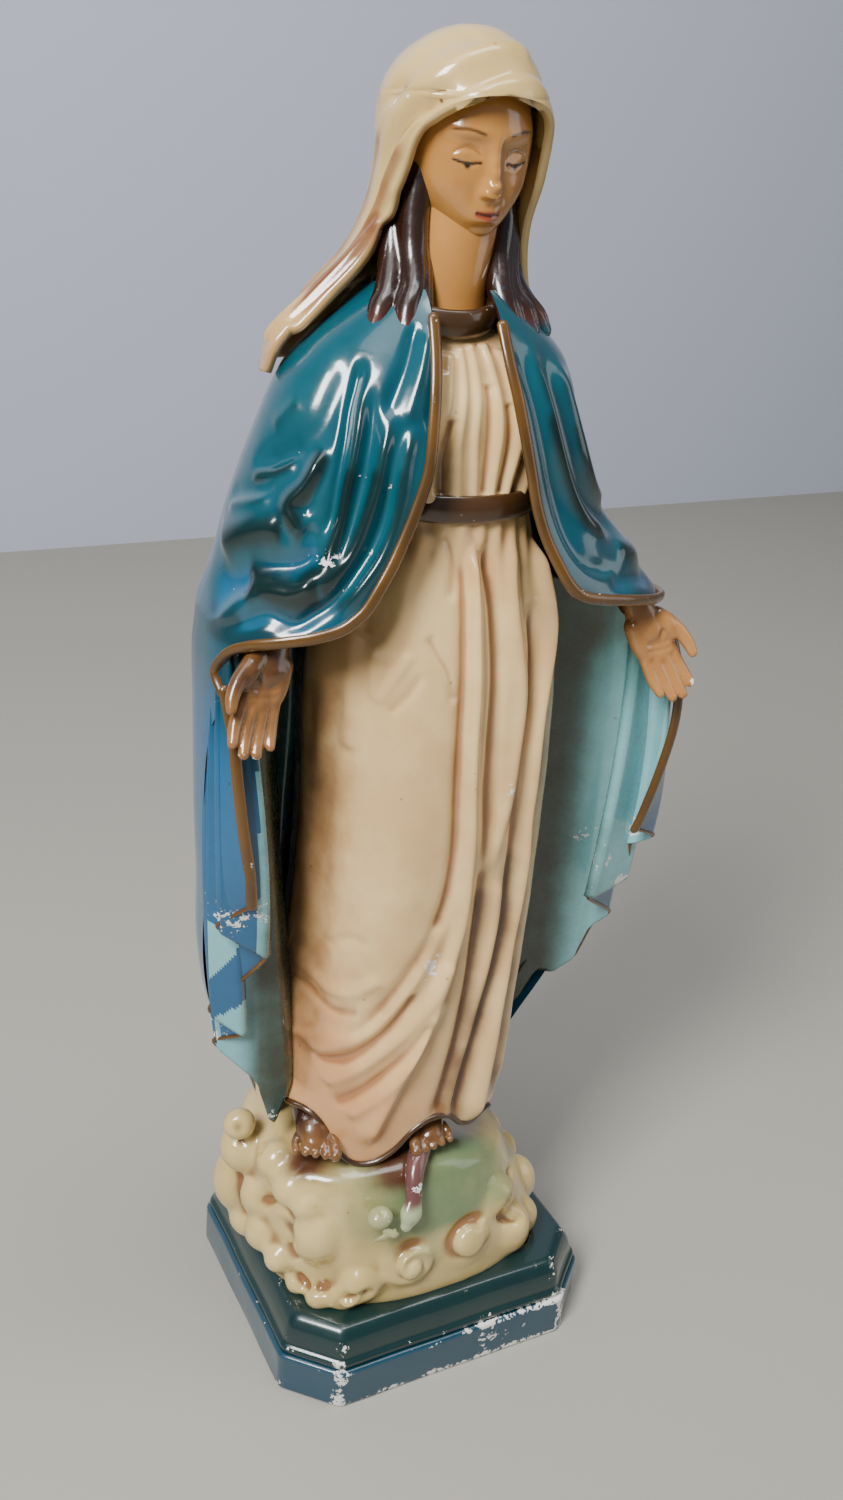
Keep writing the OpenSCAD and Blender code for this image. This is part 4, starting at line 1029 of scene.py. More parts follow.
class STATUE_OT_mantle(bpy.types.Operator):
    """Makes the mantle: the cape, the hanging pleats, the lining and the gilt edgings"""
    bl_idname = "statue.mantle"
    bl_label = "Mantle"

    def execute(self, context):
        hue, sizes = context.scene.statue_colours, context.scene.statue_sizes
        teal = paint("mantle_paint", chosen(hue.mantle), "11515c", chosen(hue.mantle_light), "082c2c", "06201f",
                     0.8, 0.3, 0.2)
        turquoise = paint("lining_paint", chosen(hue.lining), "5f9f9e", "84bfc4", "2c5a50", "2e3827",
                          0.6, 0.25, 0.26)
        gilt = paint("edging_gilt", chosen(hue.gold), "4c3312", "8a5f22", "2a1a0c", "1e140c",
                     0.6, 0.25, 0.32, 0.15)
        cape = surface("mantle_cape", 330, 288, mantle_place,
                       lambda u, v, p: mantle_relief(p, sizes.fold_depth), closed=False)
        apply(cape, "SMOOTH", factor=0.5, iterations=14)
        self.colour_teal(cape)
        right = pleat_sheet("pleats_right", RIGHT_PLEATS, True)
        left = pleat_sheet("pleats_left", LEFT_PLEATS, False)
        for piece in (right, left):
            piece.data.materials.append(teal)
            piece.data.materials.append(turquoise)
            apply(piece, "SOLIDIFY", thickness=sizes.cloth, offset=-1.0, use_rim=True, material_offset=1,
                  material_offset_rim=1)
            self.colour_pleats(piece)
            self.turn_cloth(piece)
        finish(cape, "mantle_teal", ["mantle"], teal, reach=30)
        finish(right, "mantle_teal", [], teal, turquoise, reach=10)
        finish(left, "mantle_teal", [], teal, turquoise, reach=10)
        lining = surface("mantle_lining_skin", 300, 150, self.lining_place, self.lining_relief, closed=False)
        x, y, _ = (get_points(lining) / MM).T
        shade = step(-22, 2, y) * (np.where(x > 0, 0.88, 0.6) + 0.12 * np.sin(x * 0.5))
        attribute(lining, "stain_and_shade", np.clip(shade, 0, 1))
        finish(lining, "lining_turquoise", ["mantle_lining"], turquoise, reach=16)
        r = sizes.trim / MM
        trims = {
            "right_mantle_trim": [cape_edge(RIGHT, [416, 406, 396, 384, 372, 360, 350, 342, 335, 329, 325,
                                                    322, 319.5, 318, 316.5, 315, 312, 308, 302, 296])],
            "left_mantle_trim": [cape_edge(LEFT, [414, 404, 394, 382, 370, 358, 347, 338, 331, 326.5, 324,
                                                  322, 320.5, 319, 317.5, 316, 313])],
            "right_edge_trim": [[(-88, -27, 300), (-86, -30, 284), (-85, -32, 268), (-83, -32.5, 250),
                                 (-80.5, -32, 234), (-79, -31, 220)]],
            "left_edge_trim": [[(91.5, -25, 296), (94, -28, 282), (94, -29, 264), (90, -29, 244),
                                (85, -28.5, 226), (83, -28, 220)]]}
        for node, paths in trims.items():
            parts = [limb(path, [r] * len(path), 12, 0.6) for path in paths]
            if "edge" in node:
                level = RIGHT_PLEATS[0] if node.startswith("right") else LEFT_PLEATS[0]
                hem = hem_line(level)
                parts.append(limb(hem, [0.8] * len(hem), 8))
            trim = joined(parts, node + "_skin")
            finish(trim, "old_gold", [node], gilt, reach=4)
        return {"FINISHED"}

    @staticmethod
    def colour_teal(cape):
        x, y, z = (get_points(cape) / MM).T
        # Painted shade along the cape's deepest folds and hollows.
        dark = sum(fold(around(x, y), z, path, width, amount, 0, (0.1, 0.1))
                   for path, width, amount in CAPE_SHADES)
        attribute(cape, "stain_and_shade", np.clip(dark * step(12, 0, y), 0, 0.95))
        # Bluer low down and along a band at the cape's hem, with a painted highlight along the lower ridge of
        # the right elbow.
        attribute(cape, "accent", np.clip(0.9 * step(325, 270, z) + 0.5 * fold(around(x, y), z, [
            (-62, 348), (-75, 341), (-97, 333), (-114, 326)], 5, 1) + 0.4 * bump(z, 320, 9), 0, 1))
        attribute(cape, "flake", np.clip(0.36 * bump(np.hypot((x + 56) * 0.8, (z - 344) * 1.4), 0, 5)
                                         + 0.42 * bump(np.hypot(x + 88, z - 352), 0, 5), 0, 0.6))

    @staticmethod
    def colour_pleats(piece):
        x, _, z = (get_points(piece) / MM).T
        out = np.abs(x)
        attribute(piece, "accent", np.clip(0.9 * step(300, 240, z) + 0.5 * step(76, 90, out), 0, 1))
        # Painted shade: darker towards the inner side of each fall and near its top under the cape.
        deep = step(80, 64, -x) if x.mean() < 0 else step(82, 60, x)
        attribute(piece, "stain_and_shade", np.clip(0.15 + 0.85 * deep + 0.4 * step(270, 300, z), 0, 0.85))
        chips = 0.0
        spots = [(-82, 213, 7), (-88, 155, 5), (-66, 112, 5), (90, 213, 4), (88, 190, 5), (78, 205, 5)]
        for cx, cz, size in spots:
            chips = chips + 0.5 * bump(np.hypot(x - cx, z - cz), 0, size)
        attribute(piece, "flake", np.clip(chips, 0, 0.6))

    @staticmethod
    def turn_cloth(piece):
        """The right pleats show their outside wherever they lie against the cape."""
        if get_points(piece)[:, 0].mean() > 0:
            return
        for face in piece.data.polygons:
            x, _, z = face.center / MM
            middle_fold = z < 208 - 0.9 * (x + 90) and z > 202 + 1.4 * (x + 76)
            low_fold = z < 164 + 0.7 * (x + 90)
            by_cape = x < -76 or z < 150 and x > -64
            if face.material_index == 1 and by_cape and not middle_fold and not low_fold:
                face.material_index = 0

    @staticmethod
    def lining_place(u, v):
        z = MANTLE_FOOT + 3 + 212 * v
        row = mantle_row(z)
        gap = math.radians(97)
        angle = -gap - u * (2 * math.pi - 2 * gap)
        row = row + np.array([8, -8, 6, -5, 0, 0, 0])
        x, y = section(angle, row, row[..., 6])
        return x, y, z

    @staticmethod
    def lining_relief(u, v, points):
        return 2.0 * np.cos(u * 2 * math.pi * 15 + 1.2 * np.sin(v * 4)) * step(0, 0.1, v) + 0 * points[..., 0]


# ---------------------------------------------------------------- veil and head
VEIL_FOOT, VEIL_RISE = 395.0, 105.0
# Share of the rise; x low, x high, y front, y back
VEIL = [[0, -65, 40, -10, 46], [0.1, -62, 37, -16, 42], [0.22, -50, 31, -20, 37], [0.34, -38, 27, -24, 33],
        [0.46, -31, 25, -28, 31], [0.6, -28, 26, -30, 31], [0.72, -28, 27, -31, 31], [0.82, -26, 25, -28, 29],
        [0.9, -21, 21, -23, 25], [0.96, -13, 14, -15, 17], [0.99, -6, 8, -8, 10], [1, -1, 3, -2, 4]]
# The veil's opening: share of the height and y of its edge
VEIL_EDGE = [[0, 3], [0.15, 1], [0.3, -1], [0.42, -4], [0.52, -7], [0.62, -11], [0.7, -15], [0.76, -20],
             [0.8, -26], [0.82, -30]]
# Folds on the right side of the veil: path in y and z
VEIL_FOLDS = [
    ([(-24, 482), (-14, 474), (-4, 462), (2, 446), (6, 430), (12, 414), (22, 400)], (3, 3.4), 2.4, 1),
    ([(-18, 476), (-9, 466), (0, 450), (4, 434), (8, 418), (16, 402)], (1.8, 2.2), -1.8, 0),
    ([(-10, 484), (2, 476), (10, 460), (14, 440), (20, 420), (30, 402)], (3, 3.6), 1.9, 0),
    ([(-2, 480), (8, 466), (12, 450), (16, 432), (24, 414)], (2, 2.4), -1.7, 0),
    ([(10, 480), (18, 462), (22, 442), (30, 420)], (3, 3.4), 1.7, 0),
    ([(-8, 452), (-3, 438), (0, 424), (2, 410)], (2, 2.4), 1.5, 0),
    ([(-5, 446), (1, 432), (4, 418), (8, 404)], (1.5, 1.8), -1.5, 0)]


def veil_place(u, v):
    k = np.clip(v, 0, 1) ** 0.9
    row = along(VEIL, k)
    edge_y = along(VEIL_EDGE, np.minimum(k, 0.82))[..., 0]
    front = row[..., 2]
    c = np.clip((2 - edge_y) / (2 - front), -0.2, 1)
    gap = np.where(k < 0.815, np.arccos(powered(c, 1 / 0.95)), 0.0)
    angle = -gap - u * (2 * math.pi - 2 * gap)
    x, y = section(angle, row, 0.95, 2.0)
    return x, y, VEIL_FOOT + VEIL_RISE * k


def veil_relief(points, depth):
    x, y, z = points[..., 0], points[..., 1], points[..., 2]
    relief = np.zeros_like(x)
    for path, width, height, steep in VEIL_FOLDS:
        relief += fold(y, z, path, width, height, steep, (0.12, 0.05))
    relief *= step(4, -12, x)
    brim = fold(x, z, [(-30, 455), (-27, 468), (-19, 478), (-7, 485), (6, 488), (16, 486), (23, 479),
                       (27, 468)],
                (4, 5.5), 1.5, 1, (0, 0))
    crease = fold(x, z, [(-31, 462), (-28, 474), (-21, 484), (-9, 491), (4, 494), (15, 492)],
                  2, -1.1, 0, (0.1, 0.1))
    crown = fold(x, z, [(-30, 474), (-25, 486), (-15, 494), (-4, 498)], 2.6, 1.3, 0, (0.1, 0.1))
    crease = crease + crown + fold(x, z, [(-27, 487), (-17, 496), (-8, 499)], 2, -0.8, 0, (0.1, 0.1))
    relief += (brim + crease) * step(2, -10, y)
    back = np.cos(np.arctan2(x, y) * 9) * 1.6 * step(8, 22, y) * step(470, 440, z)
    left = np.cos(y * 0.42 + z * 0.03) * 0.9 * step(12, 24, x) * step(470, 450, z)
    return depth * (relief + back + left)


def skull(points):
    """Narrows the jaw and the crown of a ball and brings its lower front forward, to make a head."""
    x, y, z = points.T
    jaw = step(-2, -27, z)
    x = x * (1 - 0.14 * jaw) * (1 - 0.06 * step(8, 26, z))
    front = y * (1 - 0.07 * step(0, -24, y)) * (1 + 0.42 * step(-4, -26, z))
    y = np.where(y < 0, front, y * (1 - 0.35 * jaw))
    return np.stack([x, y, z], -1)


def on_face(piece, x, z):
    """The surface point of the face at x, z."""
    p = get_points(piece) / MM
    score = np.hypot(p[:, 0] - x, p[:, 2] - z) + 100 * (p[:, 1] > 0)
    return p[np.argmin(score)]


HEAD_HALF = (20.5, 23.5, 28.5)                           # half the width, depth and height
HEAD_CENTRE = 466.5
HEAD_TILT = math.radians(12)


class STATUE_OT_head(bpy.types.Operator):
    """Makes the head, the neck, the hair and the veil"""
    bl_idname = "statue.head"
    bl_label = "Head and veil"

    def execute(self, context):
        hue, depth = context.scene.statue_colours, context.scene.statue_sizes.fold_depth
        skin = paint("face_paint", chosen(hue.skin), "b37a3b", "96402a", "7d451c", "27160e", 0.45, 0.05, 0.2)
        clear_selection()
        bpy.ops.mesh.primitive_ico_sphere_add(subdivisions=7, radius=1)
        head = bpy.context.object
        head.name = "head_skin"
        set_points(head, skull(get_points(head) * np.array(HEAD_HALF)) * MM)
        smooth(head)
        self.features(head)
        local = get_points(head)
        x, y, z = (local / MM).T
        self.face_paint(head, x, y, z)
        turn = Matrix.Rotation(HEAD_TILT, 3, "X")
        set_points(head, local @ np.array(turn).T + np.array([0, 0, HEAD_CENTRE]) * MM)
        finish(head, "skin", ["head"], skin, reach=14)
        neck = cast([limb([(-5, 1, 404), (-4, 0, 416), (-3, -1, 430), (-1, -1, 446), (0, 0, 456)],
                          [17, 14, 13.2, 13.4, 14], 32)], "neck_skin", 1.0, 8)
        cords = ([(-16, -10, 444), (-11, -16, 430), (-7, -18, 418)],
                 [(10, -10, 444), (4, -16, 430), (-1, -18, 418)])
        for path in cords:
            furrow(neck, path, 2.6, -0.5)
        finish(neck, "skin", ["neck"], skin, reach=10)
        self.hair()
        cream = paint("veil_paint", chosen(hue.veil), "c9a868", "b98a58", "8a4e26", "6e3a1e", 0.85, 0.1, 0.2)
        veil = surface("veil_skin", 250, 170, veil_place, lambda u, v, p: veil_relief(p, depth), closed=False)
        merged(veil, 0.05)
        apply(veil, "SMOOTH", factor=0.5, iterations=3)
        apply(veil, "SOLIDIFY", thickness=3.2 * MM, offset=-1.0)
        x, y, z = (get_points(veil) / MM).T
        streak = sum(fold(y, z, path, 3, 0.75, 0, (0.15, 0.1)) for path in (
            [(-11, 470), (-3, 452), (1, 436), (6, 416)], [(4, 472), (11, 454), (16, 432), (24, 410)],
            [(-4, 446), (0, 430), (4, 412)])) * step(0, -14, x)
        attribute(veil, "stain_and_shade", np.clip(0.75 * streak, 0, 0.7))
        attribute(veil, "accent", np.clip(step(430, 400, z) * 0.7 + 0.5 * streak, 0, 1))
        attribute(veil, "flake", 0.5 * bump(np.hypot(x + 27, z - 478), 0, 3) * (y < 0))
        finish(veil, "veil_ivory", ["veil"], cream, reach=18)
        return {"FINISHED"}

    @staticmethod
    def features(head):
        for s in (-1, 1):
            dab(head, on_face(head, s * 8.6, 1.6), (5.6, 9, 4.2), -2.7)
            dab(head, on_face(head, s * 8.6, 7.2), (7.5, 8, 2.2), 0.9)
            dab(head, on_face(head, s * 8.6, 0.4), (4.6, 9, 3.0), 1.9)
            dab(head, on_face(head, s * 12.5, -8.5), (6, 9, 5.5), 0.9)
            dab(head, on_face(head, s * 5.4, -11), (2.0, 9, 3.4), -0.4)
        ridge = ((4, 1.9, 0.8), (0.5, 1.8, 1.3), (-3, 2.0, 2.0), (-6, 2.3, 2.6), (-8.8, 2.6, 3.0))
        for z, width, out in ridge:
            dab(head, on_face(head, 0, z), (width, 9, 2.6), out)
        for s in (-1, 1):
            dab(head, on_face(head, s * 2.8, -9.8), (1.3, 9, 1.4), 0.7)
        dab(head, on_face(head, 0, -12.6), (1.0, 9, 1.6), -0.4)
        dab(head, on_face(head, 0, -16.0), (6.5, 9, 4.2), 0.3)
        for s in (-1, 1):
            dab(head, on_face(head, s * 1.7, -15.0), (2.0, 9, 0.9), 0.5)
        dab(head, on_face(head, 0, -17.4), (2.9, 9, 1.1), 0.7)
        mouth = [on_face(head, x, -16.1 + 0.02 * x * x) for x in (-4.4, -3, -1.5, 0, 1.5, 3, 4.4)]
        furrow(head, mouth, 0.5, 0.6, (0.1, 0.1))
        dab(head, on_face(head, 0, -20.4), (4.0, 9, 1.3), -0.8)
        dab(head, on_face(head, 0, -24.5), (6.5, 9, 3.8), 1.2)
        for s in (-1, 1):
            lid = [on_face(head, s * x, z)
                   for x, z in ((3.8, 0.2), (6, 2.0), (8.8, 2.7), (11.4, 1.9), (13.2, 0.2))]
            furrow(head, lid, 0.5, 0.5, (0.2, 0.2))
            lower = [on_face(head, s * x, z) for x, z in ((4.4, -1.0), (7, -2.2), (9.6, -2.2), (12.2, -0.8))]
            furrow(head, lower, 0.45, 0.4, (0.2, 0.2))

    @staticmethod
    def face_paint(head, x, y, z):
        front = (y < -6).astype(float)
        a = np.abs(x)
        lips = bump(z, -16.1 + 0.02 * x * x, 1.9 - 0.16 * a.clip(0, 6)) * step(5.0, 3.6, a)
        blush = 0.22 * bump(np.hypot(a - 12, z + 8), 0, 6)
        attribute(head, "accent", np.clip(0.95 * lips + blush, 0, 1) * front)
        brow_z = 6.6 + 1.5 * bump(a, 9.5, 5)
        brow = 0.75 * bump(z, brow_z, 0.62) * step(3.2, 5, a) * step(15.5, 12.5, a)
        lash_z = -0.9 - 0.75 * bump(a, 8.6, 3.4)
        lash = 1.0 * bump(z, lash_z, 0.5) * step(3.6, 4.6, a) * step(13.6, 12.4, a)
        iris = 0.9 * bump(np.hypot(a - 8.4, (z - lash_z + 0.9) * 1.3), 0, 0.9)
        crease = 0.35 * bump(z, 2.6 - 0.1 * (a - 8.6) ** 2, 0.5) * step(3.8, 5, a) * step(13, 11.5, a)
        mouth = 0.7 * bump(z, -16.1 + 0.02 * x * x, 0.4) * step(4.6, 3.8, a)
        attribute(head, "stain_and_shade", np.clip(brow + lash + iris + crease + mouth, 0, 1) * front)

    @staticmethod
    def hair():
        dark = paint("hair_paint", "2a150d", "1e0f0a", "5e3226", "120806", "0f4650", 0.7, 0.1, 0.26)
        cap = ball((0, 6, 468), (21.4, 20.5, 27.2), (HEAD_TILT, 0, 0), 48)
        strands = {RIGHT: [
            [(-16, -3, 458), (-18, -3, 445), (-19, -6, 433), (-21, -12, 424), (-25, -17, 418),
             (-27, -20, 412)],
            [(-15, 3, 450), (-16, 0, 439), (-17, -6, 429), (-19, -12, 422), (-21, -17, 417), (-22, -20, 413)],
            [(-18, 5, 456), (-22, 3, 442), (-24, -2, 431), (-28, -8, 422), (-32, -12, 417), (-34, -14, 412)]],
            LEFT: [
            [(15, 2, 456), (15, -1, 443), (12, -6, 432), (10, -12, 424), (11, -16, 418), (13, -19, 412)],
            [(16, 4, 452), (17, 0, 440), (15, -5, 429), (15, -11, 421), (18, -15, 416), (20, -17, 411)],
            [(18, 8, 450), (20, 5, 437), (20, 0, 426), (22, -6, 419), (26, -9, 414), (28, -11, 410)]]}
        for side, node in ((RIGHT, "right_hair"), (LEFT, "left_hair")):
            parts = [limb(path, [4.4, 5.2, 5.0, 4.6, 4.4, 3.6], 14) for path in strands[side]]
            if side == RIGHT:
                parts.append(cap)
            mass = cast(parts, node + "_skin", 0.75, 3)
            for path in strands[side]:
                shift = np.array(path, float)
                for off in (-2.2, 0.1, 2.3):
                    furrow(mass, shift + np.array([off, -3.0, 0.6 * off]), 0.7, 0.9, (0.03, 0.05))
            _, _, z = (get_points(mass) / MM).T
            attribute(mass, "accent", step(424, 410, z) * 0.7)
            attribute(mass, "stain_and_shade", step(418, 408, z) * (0.9 if side == LEFT else 0.35))
            finish(mass, "hair_brown", [node], dark, reach=5)


# ---------------------------------------------------------------- hands and feet
def hand_frame(side):
    wrist = Vector((-70, -22, 311)) if side == RIGHT else Vector((75, -22.5, 310.5))
    down = Vector((side * 0.36, -0.3, -0.88)).normalized()
    palm = Vector((-side * 0.10, -1.0, 0.33))
    palm = (palm - down * palm.dot(down)).normalized()
    across = down.cross(palm)
    return wrist, down, palm, across


def hand_piece(side, name):
    """An open hand, palm forward: fingers slightly curled, thumb held away."""
    wrist, down, palm, across = hand_frame(side)
    out = side if across.x > 0 else -side

    def at(a, b, c):
        """a along the fingers, b towards the thumb, c out of the palm."""
        return tuple(wrist + down * a + across * (b * out) + palm * c)

    parts = [limb([at(-5, 0, 0), at(1, 0, 0), at(7, 0, 0)], [5.6, 6.2, 7.2], 20, 0.78, palm),
             limb([at(5, 4.2, 0.3), at(12, 4.4, 0.0), at(18, 4.2, 0)], [4.6, 4.4, 3.8], 16, 0.9, palm),
             limb([at(5, 0, 0), at(12, 0, -0.5), at(19, 0, 0)], [5.2, 5.0, 4.2], 16, 0.8, palm),
             limb([at(5, -4.2, 0.3), at(12, -4.6, 0.2), at(17, -4.4, 0.2)], [4.6, 4.3, 3.4], 16, 0.9, palm),
             limb([at(5, 5.0, 1.4), at(9, 7.0, 2.6), at(13, 8.0, 3.0)], [4.0, 4.0, 2.8], 14)]
    fingers = ((5.9, 0.9, 15.5, 2.55), (2.0, 0.1, 18, 2.65), (-1.9, -0.4, 17, 2.6), (-5.5, -1.0, 13.5, 2.3))
    for b, spread, reach, r in fingers:
        parts.append(limb([at(15, b * 0.92, 0), at(20 + reach * 0.25, b + spread * 0.4, 0.6),
                           at(19 + reach * 0.6, b + spread * 0.8, 1.4), at(18 + reach, b + spread, 3.4)],
                          [r + 0.25, r, r * 0.94, r * 0.74], 14))
    thumb = [at(7, 7.2, 2.6), at(13, 10.2, 3.6), at(19, 11.4, 4.6), at(23, 11.2, 5.6)]
    parts.append(limb(thumb, [3.2, 2.8, 2.5, 1.9], 14))
    hand = cast(parts, name, 0.55, 4)
    for path in ([at(8, 5.8, 4.5), at(12, 2.4, 4.2), at(18, 1.6, 4.2)],
                 [at(15, 6, 4), at(14, 0, 4), at(12, -5, 4)],
                 [at(18, 5.8, 3.8), at(16.5, 0, 4), at(15, -6, 3.8)]):
        furrow(hand, path, 0.9, 0.6)
    return hand


def foot_piece(name, heel, toes, width, sole):
    """A bare foot seen from the instep down: five toes with nails."""
    heel, toes = Vector(heel), Vector(toes)
    forward = (toes - heel).normalized()
    across = Vector((0, 0, 1)).cross(forward) * -1
    parts = [limb([tuple(heel + Vector((0, 0, 8))), tuple(heel + forward * 10 + Vector((0, 0, 6))),
                   tuple(toes - forward * 7 + Vector((0, 0, 2.6)))], [7.5, 7, 5.4], 20, 0.8, (0, 0, 1))]
    big = -1 if name.startswith("right") else 1
    for k in range(5):
        share = (k - 2) / 2
        off = across * (share * width * 0.5) * -big
        size = (2.7, 2.0, 1.9, 1.8, 1.7)[k]
        tip = toes + off - forward * (0.7 * k ** 1.35)
        base = toes + off * 0.8 - forward * (9 + 0.4 * k)
        knuckle = tip - forward * 3.4 + Vector((0, 0, 3.0 - 0.2 * k))
        path = [tuple(base + Vector((0, 0, 3.4))), tuple(knuckle), tuple(tip + Vector((0, 0, 1.0)))]
        parts.append(limb(path, [size, size * 0.86, size * 0.9], 14))
    foot = cast(parts, name, 0.45, 3)
    for k in range(5):
        share = (k - 2) / 2
        tip = toes + across * (share * width * 0.5) * -big - forward * (0.7 * k ** 1.35)
        dab(foot, tuple(tip + Vector((0, -0.4, 4.4 - 0.3 * k))), (1.3, 1.4, 1.0), -0.45)
    points = get_points(foot)
    points[:, 2] = np.maximum(points[:, 2], (sole - 4) * MM)
    set_points(foot, points)
    return foot


class STATUE_OT_limbs(bpy.types.Operator):
    """Makes the hands, their wire cores and the toes under the hem"""
    bl_idname = "statue.limbs"
    bl_label = "Hands and feet"

    def execute(self, context):
        flesh = paint("flesh_paint", "b9824a", "a8713a", "8d5a33", "5e3216", "2c150b", 0.95, 0.22, 0.24)
        wire = paint("wire_metal", "4a4440", "3a3532", "6a625a", "201c1a", "2a2420", 0.4, 0.0, 0.4, 0.8)
        for side, name in ((RIGHT, "right"), (LEFT, "left")):
            hand = hand_piece(side, name + "_hand_skin")
            x, _, z = (get_points(hand) / MM).T
            # Painted shade: the right hand darkened all over and more towards the wrist, the left hand darkened
            # under the cape's edge.
            stain_and_shade = np.clip(0.5 + 0.2 * step(294, 306, z), 0, 1) if side == RIGHT else 0.4 * step(302, 314, z)
            attribute(hand, "stain_and_shade", stain_and_shade)
            tips = [(-78, 276), (-86, 279)] if side == RIGHT else [(93, 286)]
            chips = sum(0.46 * bump(np.hypot(x - a, z - b), 0, 4) for a, b in tips)
            attribute(hand, "flake", np.clip(chips, 0, 0.6))
            finish(hand, "skin", [name + "_hand"], flesh, reach=6)
            wrist, down, _, _ = hand_frame(side)
            core = limb([tuple(wrist + down * k) for k in (-16, -4, 8)], [1.2] * 3, 12)
            core.name = name + "_wrist_core"
            finish(core, "wire", [name + "_wrist_wire"], wire, reach=4)
        feet = (("right", (-47, -15, 104), (-53, -36, 104)), ("left", (-1, -20, 101), (-6, -45, 100)))
        for name, heel, toes in feet:
            foot = foot_piece(name + "_foot_skin", heel, toes, 15, SOLE)
            _, y, _ = (get_points(foot) / MM).T
            # Darker all over and more so towards the back, as painted shade under the hem.
            attribute(foot, "stain_and_shade", np.clip(0.6 + 0.35 * step(-30, -20, y), 0, 1))
            finish(foot, "skin", [name + "_foot"], flesh, reach=7)
        return {"FINISHED"}


# ---------------------------------------------------------------- serpent and apple
class STATUE_OT_serpent(bpy.types.Operator):
    """Makes the serpent under the left foot and the apple with its leaf"""
    bl_idname = "statue.serpent"
    bl_label = "Serpent and apple"

    def execute(self, context):
        brown = paint("serpent_paint", "6b4540", "5a3a3a", "a9b58a", "3a2018", "2c1a16", 0.6, 0.35, 0.22)
        snake = cast([limb([(-1, -31, 97), (-8, -38, 98), (-14, -45, 96), (-17, -50, 91), (-18, -53, 85)],
                           [4, 4.4, 4.2, 3.6, 3.4], 16),
                      limb([(-18, -53, 86), (-20, -55, 81), (-22, -56, 77)], [3.4, 4.8, 2.8], 18, 0.75)],
                     "serpent_skin", 0.6, 3)
        x, _, z = (get_points(snake) / MM).T
        attribute(snake, "accent", step(88, 82, z))
        attribute(snake, "flake", np.clip(0.52 * bump(np.hypot(x + 16, z - 91), 0, 4), 0, 0.6))
        furrow(snake, [(-26, -58, 79), (-22, -59, 78), (-19, -57, 80)], 0.5, 0.5)
        finish(snake, "serpent_brown", ["serpent"], brown, reach=5)
        green = paint("apple_paint", "a9a878", "9a9c70", "c9c49a", "6a4a2c", "4a3420", 0.9, 0.3, 0.22)
        apple = ball((-33, -54, 83), (5.4, 4.6, 4.2), (0, 0, 0.3), 40)
        apple.name = "apple_skin"
        smooth(apple)
        dab(apple, (-33, -56, 87), (1.5, 3, 1.2), -0.9)
        finish(apple, "apple_green", ["apple"], green, reach=5)
        leaf = cast([limb([(-32, -57, 79), (-29, -58.5, 77), (-27, -58, 76)], [1.3, 1.6, 1.0], 12),
                     limb([(-28, -57.5, 78), (-32, -58, 76.5), (-36, -57, 75)], [0.9, 1.7, 0.8], 12, 0.5)],
                    "apple_leaf_skin", 0.45, 2)
        finish(leaf, "apple_green", ["apple_leaf"], green, reach=4)
        return {"FINISHED"}


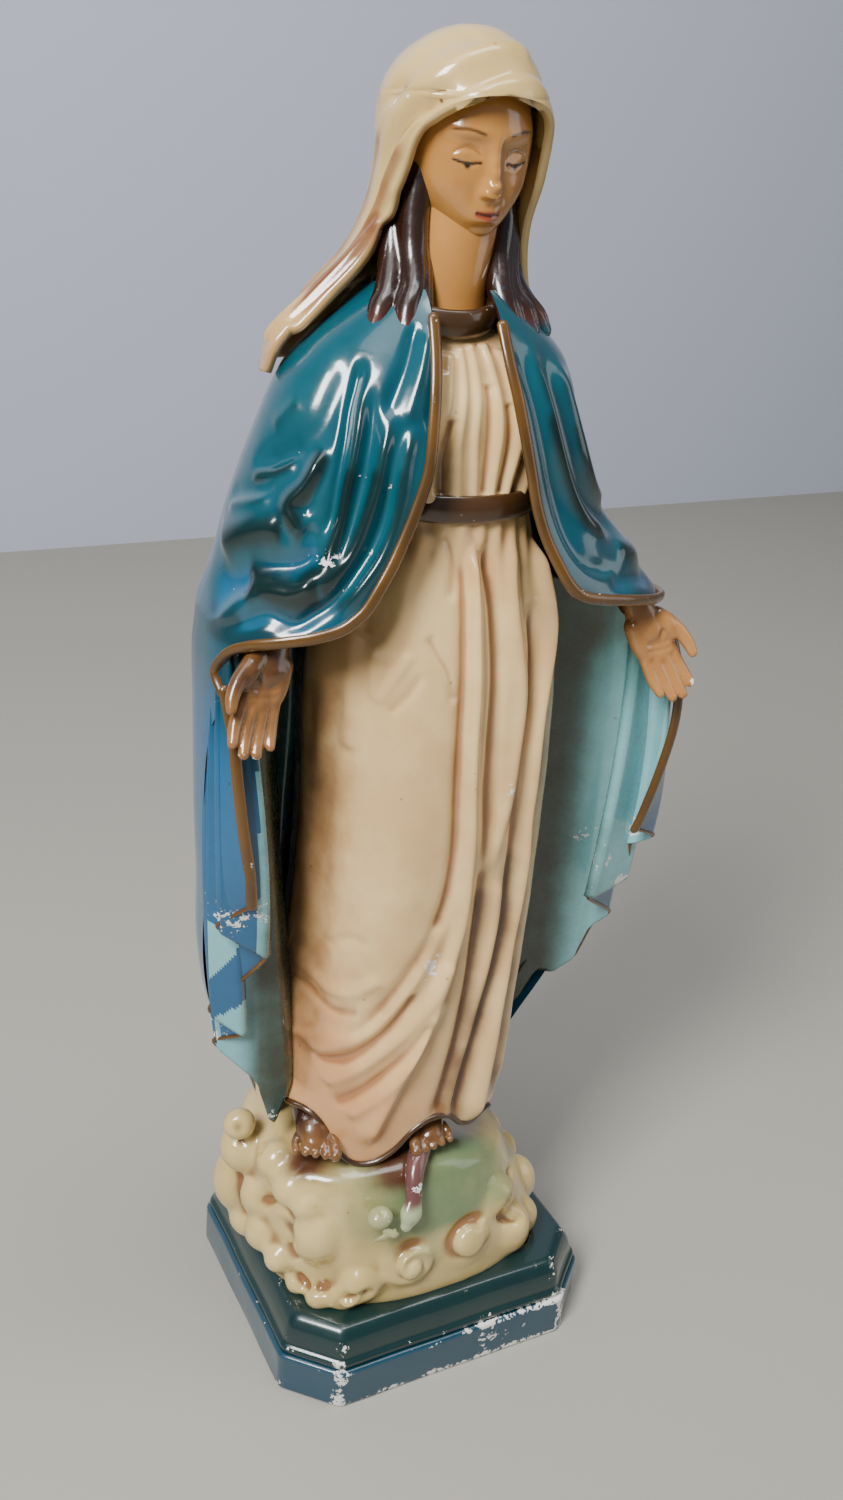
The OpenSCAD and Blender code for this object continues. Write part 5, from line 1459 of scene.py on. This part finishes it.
# ---------------------------------------------------------------- stage
class STATUE_OT_stage(bpy.types.Operator):
    """Sets the floor, the soft window light and the camera"""
    bl_idname = "statue.stage"
    bl_label = "Stage"

    def execute(self, context):
        clear_selection()
        bpy.ops.mesh.primitive_plane_add(size=6)
        floor = bpy.context.object
        floor.name = "floor"
        pale = bpy.data.materials.new("floor_pale")
        pale.use_nodes = True
        shader = pale.node_tree.nodes["Principled BSDF"]
        shader.inputs["Base Color"].default_value = tint("a5a297")
        shader.inputs["Roughness"].default_value = 0.75
        floor.data.materials.append(pale)
        bpy.ops.mesh.primitive_plane_add(size=6, location=(0, 1.1, 1.5), rotation=(math.radians(90), 0, 0))
        wall = bpy.context.object
        wall.name = "wall"
        grey = pale.copy()
        grey.name = "wall_pale"
        grey.node_tree.nodes["Principled BSDF"].inputs["Base Color"].default_value = tint("bfc3d2")
        wall.data.materials.append(grey)
        lights = [self.lamp("window", (-0.8, -0.55, 1.15), (0, 0, 0.28), (0.36, 0.55), 28),
                  self.lamp("sky", (-0.3, -0.2, 1.9), (0, 0, 0.2), (1.0, 1.0), 7),
                  self.lamp("side", (1.3, -0.7, 0.7), (0, 0, 0.25), (0.7, 1.2), 3.5),
                  self.lamp("wall_light", (0.3, -0.2, 1.8), (0.2, 1.1, 0.6), (1.0, 0.6), 12)]
        world = bpy.data.worlds.new("room")
        context.scene.world = world
        world.use_nodes = True
        world.node_tree.nodes["Background"].inputs[0].default_value = tint("c4c9d6")
        world.node_tree.nodes["Background"].inputs[1].default_value = 0.3
        camera = bpy.data.objects.new("view", bpy.data.cameras.new("view"))
        context.collection.objects.link(camera)
        camera.data.lens, camera.data.sensor_width = 34.2, 36
        yaw, pitch, roll = (math.radians(a) for a in (27.98, 24.57, 3.98))
        forward = Vector((math.sin(yaw) * math.cos(pitch), math.cos(yaw) * math.cos(pitch), -math.sin(pitch)))
        right = Vector((math.cos(yaw), -math.sin(yaw), 0))
        up = right.cross(forward)
        side = right * math.cos(roll) + up * math.sin(roll)
        top = up * math.cos(roll) - right * math.sin(roll)
        turn = Matrix((side, top, -forward)).transposed().to_4x4()
        camera.matrix_world = Matrix.Translation(Vector((-0.2302, -0.4326, 0.4783))) @ turn
        context.scene.camera = camera
        return {"FINISHED"}

    @staticmethod
    def lamp(name, place, target, size, power):
        light = bpy.data.lights.new(name, "AREA")
        light.shape, light.size, light.size_y, light.energy = "RECTANGLE", size[0], size[1], power
        piece = bpy.data.objects.new(name, light)
        bpy.context.collection.objects.link(piece)
        piece.location = place
        piece.rotation_euler = (Vector(target) - Vector(place)).to_track_quat("-Z", "Y").to_euler()
        return piece


class STATUE_PT_panel(bpy.types.Panel):
    """The statue's settings and the buttons that make it"""
    bl_idname = "STATUE_PT_panel"
    bl_label = "Plaster Statue"
    bl_space_type = "VIEW_3D"
    bl_region_type = "UI"
    bl_category = "Statue"

    def draw(self, context):
        for settings in (context.scene.statue_sizes, context.scene.statue_colours):
            box = self.layout.box()
            for name in settings.__annotations__:
                box.prop(settings, name)
        for operator in OPERATORS:
            self.layout.operator(operator.bl_idname)


OPERATORS = (STATUE_OT_plinth, STATUE_OT_clouds, STATUE_OT_gown, STATUE_OT_mantle, STATUE_OT_head,
             STATUE_OT_limbs, STATUE_OT_serpent, STATUE_OT_stage)
CLASSES = (StatueSizes, StatueColours) + OPERATORS + (STATUE_PT_panel,)


def register():
    for cls in CLASSES:
        bpy.utils.register_class(cls)
    bpy.types.Scene.statue_sizes = PointerProperty(type=StatueSizes)
    bpy.types.Scene.statue_colours = PointerProperty(type=StatueColours)


def unregister():
    del bpy.types.Scene.statue_colours
    del bpy.types.Scene.statue_sizes
    for cls in reversed(CLASSES):
        bpy.utils.unregister_class(cls)


def main():
    register()
    bpy.ops.statue.plinth()
    bpy.ops.statue.clouds()
    bpy.ops.statue.gown()
    bpy.ops.statue.mantle()
    bpy.ops.statue.head()
    bpy.ops.statue.limbs()
    bpy.ops.statue.serpent()
    bpy.ops.statue.stage()


if __name__ == "__main__":
    main()
